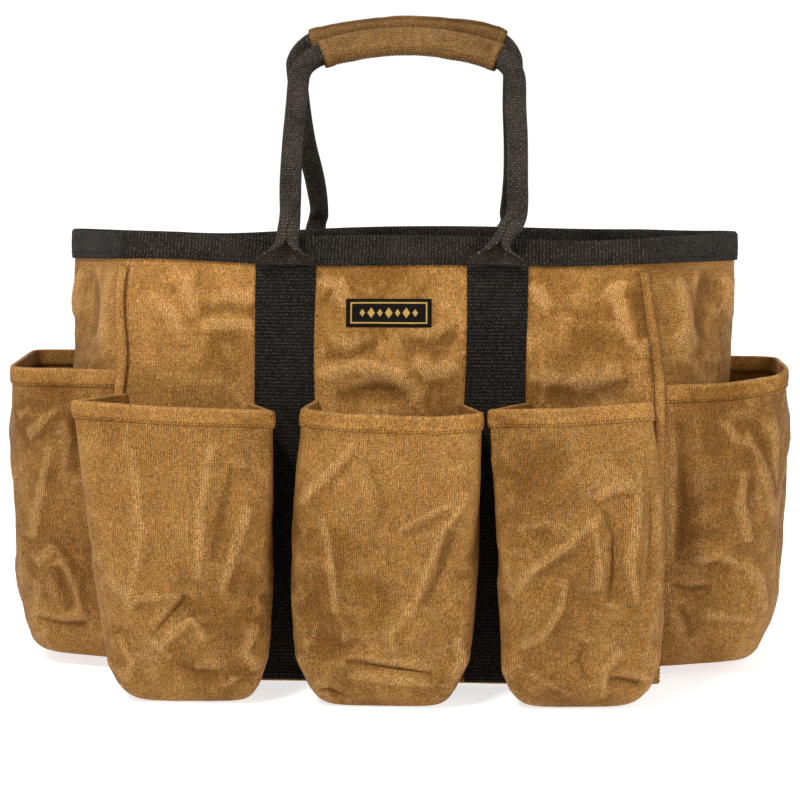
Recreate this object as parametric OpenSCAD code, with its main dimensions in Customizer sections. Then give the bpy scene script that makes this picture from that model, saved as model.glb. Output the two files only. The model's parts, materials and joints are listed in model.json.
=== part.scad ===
// Open-top garden tool bag: waxed canvas body, webbing rim, straps and carry handles, eight outside pockets.
// The origin is on the ground under the middle of the base. The front faces -Y.

/* [Body] */
// Width of the front and back panels, seam to seam
panel_w = 450; // [380:5:520]
// Depth of the base, front to back
base_d = 260; // [220:5:300]
// Depth of the mouth at the rim, front to back
mouth_d = 212; // [180:4:240]
// Width of the mouth, from one gusset crease to the other
mouth_w = 590; // [540:5:640]
// Height of the rim above the ground
rim_z = 376; // [340:2:420]
// Thickness of a canvas wall
wall_t = 2.4; // [1.6:0.2:3.2]

/* [Webbing] */
// Width of the flat webbing
web_w = 50; // [38:1:60]
// Thickness of the webbing
web_t = 2.4; // [1.6:0.2:3]
// Distance between the two straps on a panel, middle to middle
strap_gap = 176; // [150:2:200]
// Distance by which all four straps sit off the middle, towards +X
strap_shift = 3; // [0:0.5:6]

/* [Handles] */
// Distance between the two legs of a handle, middle to middle
leg_gap = 192; // [170:2:210]
// Length of a handle from its hinge line to the top of its loop
handle_l = 200; // [160:4:240]
// Width of the folded webbing in a handle
leg_w = 22; // [16:1:26]
// Thickness of the folded webbing in a handle
leg_t = 5; // [4:0.5:7]
// Distance by which both handles flop towards +X
handle_shift = 8; // [0:1:12]
// Angle by which a resting handle leans inwards
lean = 31.5; // [20:0.5:31.5]
// Radius of the shallow arc along the top of a handle
top_r = 240; // [200:10:320]
// Half of the angle that the shallow arc turns through
top_half = 18; // [12:1:20]
// Half of the angle that the canvas grip covers
grip_half = 18; // [12:1:20]
// Height of the grip's sleeve
grip_h = 26; // [22:1:30]
// Thickness of the grip's sleeve
grip_t = 11; // [9:1:14]

/* [Front and back pockets] */
// Width of a front pocket
pocket_w = 148; // [120:2:152]
// Width of a front pocket where it meets the panel
pocket_back_w = 104; // [90:2:148]
// Distance by which an outer pocket's sewn edges sit further out than its front
pocket_skew = 8; // [0:1:10]
// Distance between neighbouring pockets, middle to middle
pocket_pitch = 160; // [155:1:164]
// Height of a front pocket's hem above the ground
pocket_z = 242; // [180:2:260]
// Distance from the bag's middle to the front of a front pocket
pocket_out = 216; // [190:2:240]
// Radius of a pocket's upright outer corners
pocket_r = 24; // [10:2:36]

/* [Side pockets] */
// Width of a side pocket, front to back
side_w = 216; // [160:4:220]
// Height of a side pocket's hem above the ground
side_z = 258; // [200:2:290]
// Distance from the bag's middle to the outside of a side pocket
side_out = 350; // [325:5:360]

/* [Label] */
// Width of the woven label
label_w = 71; // [50:1:90]
// Height of the woven label
label_h = 23; // [15:1:30]
// Height of the label's middle above the ground
label_z = 312; // [270:2:335]

/* [Hidden] */

canvas = "#a8763d";
canvas_dark = "#8f6231";
webbing = "#2c2925";
board = "#3a3a3a";

big = 1000;             // longer than any side of the bag
gap = 0.4;              // air between neighbouring sheets
base_t = 3;             // the base canvas
board_t = 3;            // the stiffening board
wall_z = base_t + gap;  // where the walls start
band_h = web_w / 2;     // webbing folded over the rim
band_z = rim_z - band_h;
channel = wall_t + 4;   // room between the two sides of the rim band
wall_top = rim_z - web_t - gap;
lean_in = (base_d - mouth_d) / 2;
panel_tilt = atan(lean_in / rim_z);
crease_out = (mouth_w - panel_w) / 2;
crease_z = 230;         // where the gusset's crease reaches its full width
welt_w = 8;             // corner and base seams
welt_t = 3;
hem_t = 1.2;            // extra thickness of a folded hem
hem_h = 14;
pocket_t = 2;           // one sheet of pocket canvas
label_t = 0.8;
foot_t = 3;             // strap where it lies over the rim band
hinge_z = rim_z + leg_t / 2 + gap;
foot_y = mouth_d / 2 + channel / 2 + web_t + gap;  // back of a strap's foot
hinge_y = foot_y + foot_t + leg_t / 2 + gap;
bend_r = (leg_gap / 2 - top_r * sin(top_half)) / (1 - sin(top_half));
arc_z = handle_l - top_r;
bend_z = arc_z + (top_r - bend_r) * cos(top_half);

// Half of the bag's depth at height z.
function half_depth(z) = base_d / 2 - lean_in * z / rim_z;

// How far the gusset's crease stands out of the panel's edge at height z.
function crease(z) = crease_out * sin(90 * min(1, z / crease_z));

// A closed sheet between two grids of points, each a list of rows.
module sheet(outer, inner) {
    rows = len(outer);
    cols = len(outer[0]);
    n = rows * cols;
    function id(side, r, c) = side * n + r * cols + c;
    flat = [for (grid = [outer, inner]) for (row = grid) for (p = row) p];
    faces = concat(
        [for (r = [0:rows - 2]) for (c = [0:cols - 2])
            for (f = [
                [id(0, r, c), id(0, r, c + 1), id(0, r + 1, c)],
                [id(0, r, c + 1), id(0, r + 1, c + 1), id(0, r + 1, c)],
                [id(1, r, c), id(1, r + 1, c), id(1, r, c + 1)],
                [id(1, r, c + 1), id(1, r + 1, c), id(1, r + 1, c + 1)]
            ]) f],
        [for (c = [0:cols - 2])
            for (f = [
                [id(0, 0, c), id(1, 0, c), id(0, 0, c + 1)],
                [id(1, 0, c), id(1, 0, c + 1), id(0, 0, c + 1)],
                [id(0, rows - 1, c), id(0, rows - 1, c + 1), id(1, rows - 1, c)],
                [id(1, rows - 1, c), id(0, rows - 1, c + 1), id(1, rows - 1, c + 1)]
            ]) f],
        [for (r = [0:rows - 2])
            for (f = [
                [id(0, r, 0), id(0, r + 1, 0), id(1, r, 0)],
                [id(1, r, 0), id(0, r + 1, 0), id(1, r + 1, 0)],
                [id(0, r, cols - 1), id(1, r, cols - 1), id(0, r + 1, cols - 1)],
                [id(1, r, cols - 1), id(1, r + 1, cols - 1), id(0, r + 1, cols - 1)]
            ]) f]
    );
    polyhedron(points = flat, faces = faces, convexity = 6);
}

// Puts its children, drawn upright on the XZ plane, onto the leaning front panel.
module on_front(out = 0) {
    translate([0, -base_d / 2, 0]) rotate([-panel_tilt, 0, 0]) translate([0, -out, 0]) children();
}

// Turns the front half of the bag into its back half.
module at_back() {
    rotate([0, 0, 180]) children();
}

// An upright slab on the front panel, from z0 to z1, centred on x, of thickness t above the face.
module front_slab(x, w, z0, z1, t, out) {
    on_front(out) translate([x - w / 2, -t, z0]) cube([w, t, z1 - z0]);
}

// One of the two flat panels.
module panel() {
    front_slab(0, panel_w, wall_z, wall_top, wall_t, -wall_t / 2);
}

module front_panel() {
    color(canvas) panel();
}

module back_panel() {
    color(canvas) at_back() panel();
}

// A side wall with its middle crease pushed out.
module gusset() {
    inset = wall_t / 2 + gap;
    skew = wall_t / cos(atan(crease_out / (mouth_d / 2)));
    side = [for (i = [0:10]) wall_z + (wall_top - wall_z) * i / 10];
    across = [for (i = [-4:4]) i / 4];
    function spot(u, z, t) = [
        panel_w / 2 + t + crease(z) * (1 - abs(u)),
        u * (half_depth(z) - inset),
        z
    ];
    sheet(
        [for (z = side) [for (u = across) spot(u, z, skew)]],
        [for (z = side) [for (u = across) spot(u, z, 0)]]
    );
}

module left_gusset() {
    color(canvas_dark) at_back() gusset();
}

module right_gusset() {
    color(canvas_dark) gusset();
}

module base_panel() {
    color(canvas_dark) translate([-panel_w / 2, -base_d / 2, 0]) cube([panel_w, base_d, base_t]);
}

// A loose board that keeps the base flat.
module base_board() {
    margin = 6;
    size = [panel_w - 2 * margin, base_d - 2 * margin, board_t];
    color(board) translate([-size.x / 2, -size.y / 2, wall_z]) cube(size);
}

// The folded seam that runs round the base.
module base_seam_welt() {
    color(canvas_dark) difference() {
        translate([-panel_w / 2 - welt_t - gap, -base_d / 2 - welt_t - gap, 0])
            cube([panel_w + 2 * (welt_t + gap), base_d + 2 * (welt_t + gap), base_t]);
        translate([-panel_w / 2 - gap, -base_d / 2 - gap, -1])
            cube([panel_w + 2 * gap, base_d + 2 * gap, base_t + 2]);
    }
}

// The folded seam up a corner, between a panel and a gusset.
module corner_welt(side) {
    x = side * (panel_w / 2 + gap + welt_w / 2);
    color(canvas_dark) front_slab(x, welt_w, wall_z, band_z - gap, welt_t, -wall_t / 2 + gap);
}

module front_left_welt() {
    corner_welt(-1);
}

module front_right_welt() {
    corner_welt(1);
}

module back_left_welt() {
    at_back() corner_welt(1);
}

module back_right_welt() {
    at_back() corner_welt(-1);
}

// The six corners of the mouth, moved outwards by e.
function mouth(e) = let (x = panel_w / 2 + 0.5 * e, y = mouth_d / 2 + e, c = mouth_w / 2 + 1.1 * e)
    [[-x, -y], [x, -y], [c, 0], [x, y], [-x, y], [-c, 0]];

module mouth_ring(e0, e1) {
    difference() {
        polygon(mouth(e1));
        polygon(mouth(e0));
    }
}

// Webbing folded over the edge of the mouth.
module rim_binding() {
    side = channel / 2;
    color(webbing) translate([0, 0, band_z]) difference() {
        linear_extrude(band_h) mouth_ring(-side - web_t, side + web_t);
        translate([0, 0, -1]) linear_extrude(band_h - web_t + 1) mouth_ring(-side, side);
    }
}

// A strap on the front panel, with its foot over the rim band, drawn as its side outline.
module strap(x) {
    back = wall_t / 2 + gap;
    front = back + web_t;
    foot_z = band_z - 2 * foot_t;
    color(webbing) translate([x - web_w / 2, 0, 0]) rotate([90, 0, 90]) linear_extrude(web_w) polygon([
        [-half_depth(wall_z) - back, wall_z],
        [-half_depth(wall_z) - front, wall_z],
        [-half_depth(foot_z) - front, foot_z - foot_t],
        [-foot_y - foot_t, foot_z],
        [-foot_y - foot_t, rim_z],
        [-foot_y, rim_z],
        [-foot_y, band_z - gap],
        [-half_depth(band_z) - back, band_z - gap]
    ]);
}

module front_left_strap() {
    strap(strap_shift - strap_gap / 2);
}

module front_right_strap() {
    strap(strap_shift + strap_gap / 2);
}

module back_left_strap() {
    at_back() strap(strap_gap / 2 - strap_shift);
}

module back_right_strap() {
    at_back() strap(-strap_gap / 2 - strap_shift);
}

// Points along an arc about [x, z], from angle a0 to a1 measured clockwise from straight up.
function arc(x, z, r, a0, a1) = [for (a = [a0:(a1 - a0) / 12:a1]) [x + r * sin(a), z + r * cos(a)]];

// One edge of an upright handle loop, a distance off its middle line, from its left foot to its right foot.
function loop_edge(off) = concat(
    [[-leg_gap / 2 - off, 0]],
    arc(bend_r - leg_gap / 2, bend_z, bend_r + off, -90, -top_half),
    arc(0, arc_z, top_r + off, -top_half + 3, top_half - 3),
    arc(leg_gap / 2 - bend_r, bend_z, bend_r + off, top_half, 90),
    [[leg_gap / 2 + off, 0]]
);

function reversed(list) = [for (i = [len(list) - 1:-1:0]) list[i]];

// An upright handle loop of flat webbing, with its hinge line on the X axis.
module loop(w, t) {
    rotate([90, 0, 0]) linear_extrude(t, center = true)
        polygon(concat(loop_edge(w / 2), reversed(loop_edge(-w / 2))));
}

// A bar of w by t, bent round the Y axis on radius r, through an angle a to each side of straight up.
module bent_bar(r, w, t, a) {
    rotate([90, 0, 0]) rotate([0, 0, 90 - a])
        rotate_extrude(angle = 2 * a, $fn = 96) translate([r - w / 2, -t / 2]) square([w, t]);
}

// Leans a handle inwards on its hinge line at the front of the rim.
module at_hinge(shift) {
    translate([shift, -hinge_y, hinge_z]) rotate([-lean, 0, 0]) children();
}

module handle_webbing(shift) {
    color(webbing) at_hinge(shift) loop(leg_w, leg_t);
}

// The canvas sleeve round the top of a handle.
module handle_grip(shift) {
    color(canvas) at_hinge(shift) translate([0, 0, arc_z]) difference() {
        bent_bar(top_r, grip_h, grip_t, grip_half);
        bent_bar(top_r, leg_w + gap, leg_t + gap, grip_half + 1);
    }
}

module front_handle_webbing() {
    handle_webbing(handle_shift);
}

module front_handle_grip() {
    handle_grip(handle_shift);
}

module back_handle_webbing() {
    at_back() handle_webbing(-handle_shift);
}

module back_handle_grip() {
    at_back() handle_grip(-handle_shift);
}

// The outline of a pocket seen from above: a box with two round corners at its far edge.

// Half of a pocket's plan, from the middle of its front round the corner at x = w / 2 to its sewn edge at x = edge.
function half_plan(w, edge, back, d, r) =
    let (
        slant = atan((w / 2 - edge) / (d - back)),
        cx = w / 2 - r * (1 + sin(slant)) / cos(slant)
    )
    concat(
        [for (i = [0:10]) let (a = -90 + (90 + slant) * i / 10) [cx + r * cos(a), -d + r + r * sin(a)]],
        [[edge, -back]]
    );

// A pocket's plan: w wide in front and back_w wide at y = -back, where it sits skew further along X.
module pocket_plan(w, back_w, back, d, r, skew) {
    right = half_plan(w, back_w / 2 + skew, back, d, r);
    left = half_plan(w, back_w / 2 - skew, back, d, r);
    polygon(concat(right, [for (i = [len(left) - 1:-1:0]) [-left[i][0], left[i][1]]]));
}

// An open-topped pocket hanging off the XZ plane towards -Y, with a thicker hem.
module pocket_cup(w, back_w, back, d, h, r, skew = 0) {
    inner = hem_t + pocket_t;
    difference() {
        union() {
            linear_extrude(h) pocket_plan(w - 2 * hem_t, back_w - 2 * hem_t, back, d - hem_t, r, skew);
            translate([0, 0, h - hem_h]) linear_extrude(hem_h) pocket_plan(w, back_w, back, d, r + hem_t, skew);
        }
        translate([0, 0, pocket_t]) linear_extrude(h)
            pocket_plan(w - 2 * inner, back_w - 2 * inner, back - 1, d - inner, r - pocket_t, skew);
    }
}

// Keeps its children in front of the front panel and its straps.
module clear_of_panel() {
    difference() {
        children();
        on_front(wall_t / 2 + web_t + 2 * gap) translate([-big / 2, 0, -big / 2]) cube([big, big, big]);
    }
}

module front_pocket(i) {
    color(canvas) clear_of_panel() translate([i * pocket_pitch, 0, 0])
        pocket_cup(pocket_w, pocket_back_w, mouth_d / 2 - wall_t, pocket_out, pocket_z, pocket_r, i * pocket_skew);
}

module front_left_pocket() {
    front_pocket(-1);
}

module front_middle_pocket() {
    front_pocket(0);
}

module front_right_pocket() {
    front_pocket(1);
}

module back_left_pocket() {
    at_back() front_pocket(1);
}

module back_middle_pocket() {
    at_back() front_pocket(0);
}

module back_right_pocket() {
    at_back() front_pocket(-1);
}

// A side pocket, cut to the shape of the gusset that it is sewn to.
module side_pocket() {
    room = welt_t + 2 * wall_t;
    color(canvas) difference() {
        rotate([0, 0, 90]) pocket_cup(side_w, side_w, panel_w / 2 - wall_t, side_out, side_z, pocket_r);
        for (i = [0:9]) {
            z = (side_z + 2) * i / 10;
            step = (side_z + 2) / 10;
            reach = crease(z + step);
            translate([0, 0, z - (i == 0 ? 1 : 0)]) linear_extrude(step + 1) polygon([
                [-1, -big / 2],
                [panel_w / 2 + room, -big / 2],
                [panel_w / 2 + room, -half_depth(z)],
                [panel_w / 2 + reach + room, 0],
                [panel_w / 2 + room, half_depth(z)],
                [panel_w / 2 + room, big / 2],
                [-1, big / 2]
            ]);
        }
    }
}

module left_side_pocket() {
    at_back() side_pocket();
}

module right_side_pocket() {
    side_pocket();
}

module woven_label() {
    color(webbing) front_slab(0, label_w, label_z - label_h / 2, label_z + label_h / 2, label_t, wall_t / 2 + gap / 4);
}

front_panel();
back_panel();
left_gusset();
right_gusset();
base_panel();
base_board();
base_seam_welt();
front_left_welt();
front_right_welt();
back_left_welt();
back_right_welt();
rim_binding();
front_left_strap();
front_right_strap();
back_left_strap();
back_right_strap();
front_handle_webbing();
back_handle_webbing();
front_handle_grip();
back_handle_grip();
front_left_pocket();
front_middle_pocket();
front_right_pocket();
back_left_pocket();
back_middle_pocket();
back_right_pocket();
left_side_pocket();
right_side_pocket();
woven_label();
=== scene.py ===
"""Looks of the garden tool bag: waxed canvas shell and pockets, webbing straps and handles, threads and label."""
import json
import math

import bmesh
import bpy
import numpy as np
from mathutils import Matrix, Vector


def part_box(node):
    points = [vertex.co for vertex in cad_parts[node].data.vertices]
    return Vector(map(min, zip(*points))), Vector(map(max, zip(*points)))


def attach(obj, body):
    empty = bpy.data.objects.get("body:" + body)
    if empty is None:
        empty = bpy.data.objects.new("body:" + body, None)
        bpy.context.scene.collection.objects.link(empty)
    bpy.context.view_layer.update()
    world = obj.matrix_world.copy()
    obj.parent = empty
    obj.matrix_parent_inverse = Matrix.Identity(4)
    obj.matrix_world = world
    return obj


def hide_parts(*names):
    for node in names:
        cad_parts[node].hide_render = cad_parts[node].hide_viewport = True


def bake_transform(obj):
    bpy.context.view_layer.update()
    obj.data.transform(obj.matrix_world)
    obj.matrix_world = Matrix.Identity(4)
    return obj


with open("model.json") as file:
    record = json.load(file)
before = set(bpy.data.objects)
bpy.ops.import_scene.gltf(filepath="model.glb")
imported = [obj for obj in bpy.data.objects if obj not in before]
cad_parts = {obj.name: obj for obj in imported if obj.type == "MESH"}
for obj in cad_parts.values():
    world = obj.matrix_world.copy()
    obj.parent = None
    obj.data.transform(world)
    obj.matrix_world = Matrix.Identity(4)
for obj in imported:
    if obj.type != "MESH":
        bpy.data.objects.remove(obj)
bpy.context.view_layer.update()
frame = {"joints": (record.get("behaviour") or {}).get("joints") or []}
MM = 0.001
UP = np.array([0, 0, 1.0])

# Sizes from the frame, with z up, x to the right and the front towards -y
PANEL_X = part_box("front_panel")[1].x
BASE_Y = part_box("base_panel")[1].y
RIM_LOW, RIM_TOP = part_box("rim_binding")[0].z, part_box("rim_binding")[1].z
CREASE_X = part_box("rim_binding")[1].x - 6.2 * MM
MOUTH_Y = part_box("rim_binding")[1].y - 5.6 * MM
POCKET_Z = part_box("front_middle_pocket")[1].z
SIDE_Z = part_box("right_side_pocket")[1].z
STRAP = {side: sum(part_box(f"front_{side}_strap")[k].x for k in (0, 1)) / 2 for side in ("left", "right")}
STRAP_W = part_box("front_left_strap")[1].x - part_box("front_left_strap")[0].x
HINGE = Vector(frame["joints"][0]["pos_m"])
CANVAS_T = 1.3 * MM
WEB_T = 1.9 * MM
HEM_T = 1.9 * MM
HEM_ROWS = 6
WALL_LOW = 3.4 * MM        # where the walls' cloth starts above the floor
BELLY = 7 * MM             # how far a panel bulges in its middle
WALL_MOVE, POCKET_MOVE = 9 * MM, 14 * MM    # how far a point may move while the cloth settles
SIM_SCALE = 6.0


# ---------------------------------------------------------------- numbers and grids

def ease(t):
    t = np.clip(t, 0, 1)
    return t * t * (3 - 2 * t)


def unit(v):
    return v / np.maximum(np.linalg.norm(v, axis=-1, keepdims=True), 1e-12)


def bell(x, centre, width):
    return np.exp(-((x - centre) / width) ** 2)


def run(P):
    """Distance along a line of points, from its first one."""
    return np.append(0, np.cumsum(np.linalg.norm(np.diff(P, axis=0), axis=-1)))


def gradients(P, loop=False):
    """Steps along the columns and along the rows of a grid of points."""
    if loop:
        du = (np.roll(P, -1, axis=1) - np.roll(P, 1, axis=1)) / 2
    else:
        du = np.gradient(P, axis=1)
    return du, np.gradient(P, axis=0)


def normals(P, loop=False):
    du, dv = gradients(P, loop)
    return unit(np.cross(du, dv))


def smooth(P, times, loop=False, keep_edges=True):
    """Averages each point of a grid with its neighbours."""
    P = P.copy()
    for _ in range(times):
        Q = np.pad(P, ((1, 1), (1, 1), (0, 0)), mode="edge")
        if loop:
            Q[:, 0], Q[:, -1] = Q[:, -2], Q[:, 1]
        R = (Q[:-2, 1:-1] + Q[2:, 1:-1] + Q[1:-1, :-2] + Q[1:-1, 2:]) / 4
        R = 0.5 * P + 0.5 * R
        if keep_edges:
            R[0], R[-1] = P[0], P[-1]
            if not loop:
                R[:, 0], R[:, -1] = P[:, 0], P[:, -1]
        P = R
    return P


def refine(P):
    """Doubles the resolution of a grid with a Catmull-Rom curve through its points."""
    for _ in range(2):
        B = np.concatenate([2 * P[:1] - P[1:2], P, 2 * P[-1:] - P[-2:-1]])
        out = np.empty((2 * len(P) - 1,) + P.shape[1:])
        out[0::2], out[1::2] = P, (9 * (B[1:-2] + B[2:-1]) - B[:-3] - B[3:]) / 16
        P = np.swapaxes(out, 0, 1)
    return P


def lengths(P):
    """Distance along each row and up each column of a grid, as a flat pattern of the cloth."""
    du = np.linalg.norm(np.diff(P, axis=1), axis=-1).mean(0)
    dv = np.linalg.norm(np.diff(P, axis=0), axis=-1).mean(1)
    U, V = np.meshgrid(np.append(0, np.cumsum(du)), np.append(0, np.cumsum(dv)))
    return np.stack([U, V, np.zeros_like(U)], -1)


def relief(P):
    """How far each point stands above the smoothed sheet, about -1 to 1: ridges above 0, valleys below."""
    high = ((P - smooth(P, 9, keep_edges=False)) * normals(P)).sum(-1)
    return np.clip(high / (0.9 * MM), -1, 1)


def noise(points, scale, seed, octaves=3):
    """Smooth value noise, about -1 to 1, at points in metres; scale is its largest feature in metres."""
    total, amp = 0, 1.0
    for k in range(octaves):
        q = points / (scale / 2 ** k) + 17.3 * (seed + 3 * k)
        cell = np.floor(q).astype(np.int64)
        f = q - cell
        w = f * f * (3 - 2 * f)
        value = 0
        for step in np.ndindex(2, 2, 2):
            i, j, l = ((cell[..., a] + step[a]) * prime for a, prime in enumerate((73856093, 19349663, 83492791)))
            n = i ^ j ^ l
            n = (n ^ (n >> 13)) * 1274126177 & 0x7FFFFFFF
            near = [w[..., a] if step[a] else 1 - w[..., a] for a in range(3)]
            value = value + ((n % 65536) / 32768 - 1) * (near[0] * near[1] * near[2])
        total = total + amp * value
        amp *= 0.5
    return total / 1.5


# ---------------------------------------------------------------- meshes

def new_mesh(name, verts, faces, weave=None, wear_and_shade=None):
    me = bpy.data.meshes.new(name)
    me.from_pydata([tuple(v) for v in verts], [], faces)
    me.update()
    for attribute, kind, field, values in (("weave", "FLOAT_VECTOR", "vector", weave),
                                           ("wear_and_shade", "FLOAT", "value", wear_and_shade)):
        if values is not None:
            a = me.attributes.new(attribute, kind, "POINT")
            a.data.foreach_set(field, np.asarray(values, np.float32).ravel())
    me.polygons.foreach_set("use_smooth", np.ones(len(me.polygons), bool))
    ob = bpy.data.objects.new(name, me)
    bpy.context.scene.collection.objects.link(ob)
    return ob


def solid(name, verts, faces, weave, wear_and_shade, material):
    """A closed mesh with its weave and its wear and painted shade, its normals made to point outwards."""
    ob = new_mesh(name, verts, faces, weave, wear_and_shade)
    ob.data.materials.append(material)
    bm = bmesh.new()
    bm.from_mesh(ob.data)
    bmesh.ops.recalc_face_normals(bm, faces=bm.faces)
    bm.to_mesh(ob.data)
    bm.free()
    return ob


def grid_faces(rows, cols, loop=False, wrap=False, start=0, flip=False):
    """The faces of a grid. loop joins its last column to the first, wrap its last row to the first."""
    out = []
    for r in range(rows if wrap else rows - 1):
        low, high = start + r * cols, start + (r + 1) % rows * cols
        for c in range(cols if loop else cols - 1):
            d = (c + 1) % cols
            f = (low + c, low + d, high + d, high + c)
            out.append(f[::-1] if flip else f)
    return out


def cloth_sheet(name, P, t, material, weave=None):
    """A closed sheet of thickness t about the grid P, with round edges."""
    rows, cols = P.shape[:2]
    n = rows * cols
    weave = lengths(P) if weave is None else weave
    N = normals(P)
    du, dv = map(unit, gradients(P))
    faces = grid_faces(rows, cols) + grid_faces(rows, cols, start=n, flip=True)
    chain = ([(0, c) for c in range(cols)][::-1] + [(r, 0) for r in range(1, rows)]
             + [(rows - 1, c) for c in range(1, cols)] + [(r, cols - 1) for r in range(rows - 2, 0, -1)])
    edge = []
    for k, (r, c) in enumerate(chain):
        out = dv[r, c] * ((r == rows - 1) - (r == 0)) + du[r, c] * ((c == cols - 1) - (c == 0))
        edge.append(P[r, c] + out * t * 0.45)
        j = (k + 1) % len(chain)
        a, b = r * cols + c, chain[j][0] * cols + chain[j][1]
        faces += [(2 * n + j, 2 * n + k, a, b), (2 * n + k, 2 * n + j, n + b, n + a)]
    verts = np.concatenate([(P + N * t * 0.5).reshape(-1, 3), (P - N * t * 0.5).reshape(-1, 3), edge])
    # The relief lightens rubbed ridges and paints shade into the valleys; the cut edges are rubbed lighter.
    flat, wear_and_shade = weave.reshape(-1, 3), relief(P).ravel()
    edge_weave = weave[tuple(np.array(chain).T)]
    return solid(name, verts, faces, np.concatenate([flat, flat, edge_weave]),
                 np.concatenate([wear_and_shade, wear_and_shade, np.full(len(chain), 0.6)]), material)


# A stitch's rings: place along it, height and thickness, as shares of its length and radius
STITCH_RINGS = [(-0.5, -1.1, 0.45), (-0.3, 0.25, 0.9), (0.0, 0.55, 1.0), (0.3, 0.25, 0.9), (0.5, -1.1, 0.45)]


def stitch_row(points, out, pitch=3.3 * MM, length=2.5 * MM, radius=0.42 * MM, sink=0.1 * MM, sides=6):
    """Stitches along a line of points, each lying on the cloth, whose outward directions are given."""
    P, N = np.asarray(points), unit(np.asarray(out))
    s = run(P)
    verts, faces = [], []

    def at(x, A):
        return np.array([np.interp(x, s, A[:, k]) for k in range(3)])

    for c in np.arange(pitch * 0.6, s[-1] - pitch * 0.5, pitch):
        t = unit(at(c + length / 2, P) - at(c - length / 2, P))
        n = unit(at(c, N))
        w = np.cross(t, n)
        base = len(verts)
        for along, lift, fat in STITCH_RINGS:
            o = at(c, P) + t * along * length + n * (lift * radius - sink)
            for k in range(sides):
                q = 2 * math.pi * k / sides
                verts.append(o + radius * fat * (w * math.cos(q) + n * math.sin(q)))
        faces += [tuple(base + i for i in f) for f in grid_faces(len(STITCH_RINGS), sides, True)]
        faces.append(tuple(base + k for k in range(sides))[::-1])
        faces.append(tuple(base + (len(STITCH_RINGS) - 1) * sides + k for k in range(sides)))
    return verts, faces


def threads(name, lines, material, **sizes):
    """One object of several rows of stitches."""
    verts, faces = [], []
    for points, out in lines:
        v, f = stitch_row(points, out, **sizes)
        faces += [tuple(i + len(verts) for i in face) for face in f]
        verts += v
    ob = new_mesh(name, verts, faces)
    ob.data.materials.append(material)
    return ob


# ---------------------------------------------------------------- cloth simulation

def simulate(P, pin, cut, frames, pressure, gravity, bending, stretch=80.0):
    """Lets the sheet settle as cloth. pin is 1 where it is sewn down; cut is its cut shape, which may be larger."""
    rows, cols = P.shape[:2]
    scene = bpy.context.scene
    ob = new_mesh("cloth_trial", P.reshape(-1, 3) * SIM_SCALE, grid_faces(rows, cols))
    group = ob.vertex_groups.new(name="pin")
    for i, w in enumerate(pin.ravel()):
        if w > 0:
            group.add([i], float(w), "REPLACE")
    ob.shape_key_add(name="Basis")
    key = ob.shape_key_add(name="cut")
    key.data.foreach_set("co", (cut.reshape(-1, 3) * SIM_SCALE).astype(np.float32).ravel())
    mod = ob.modifiers.new("Cloth", "CLOTH")
    s = mod.settings
    s.quality = 8
    s.mass = 0.25
    s.air_damping = 4
    s.tension_stiffness = s.compression_stiffness = stretch
    s.shear_stiffness = stretch * 0.6
    s.bending_stiffness = bending
    s.tension_damping = s.compression_damping = s.shear_damping = 8
    s.bending_damping = 2
    s.vertex_group_mass = "pin"
    s.rest_shape_key = ob.data.shape_keys.key_blocks["cut"]
    s.use_pressure = True
    s.uniform_pressure_force = pressure
    s.effector_weights.gravity = gravity
    mod.collision_settings.use_collision = False
    mod.collision_settings.use_self_collision = False
    mod.point_cache.frame_start = 1
    mod.point_cache.frame_end = frames
    for f in range(1, frames + 1):
        scene.frame_set(f)
    shown = ob.evaluated_get(bpy.context.evaluated_depsgraph_get())
    co = np.empty(rows * cols * 3, np.float32)
    shown.data.vertices.foreach_get("co", co)
    mesh = ob.data
    bpy.data.objects.remove(ob)
    bpy.data.meshes.remove(mesh)
    scene.frame_set(1)
    return co.reshape(rows, cols, 3).astype(float) / SIM_SCALE


def limited(P, step, most):
    """The grid P moved by step, no point further than most."""
    far = np.linalg.norm(step, axis=-1, keepdims=True)
    return P + step * np.minimum(1, most / np.maximum(far, 1e-9))


# ---------------------------------------------------------------- materials

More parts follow.
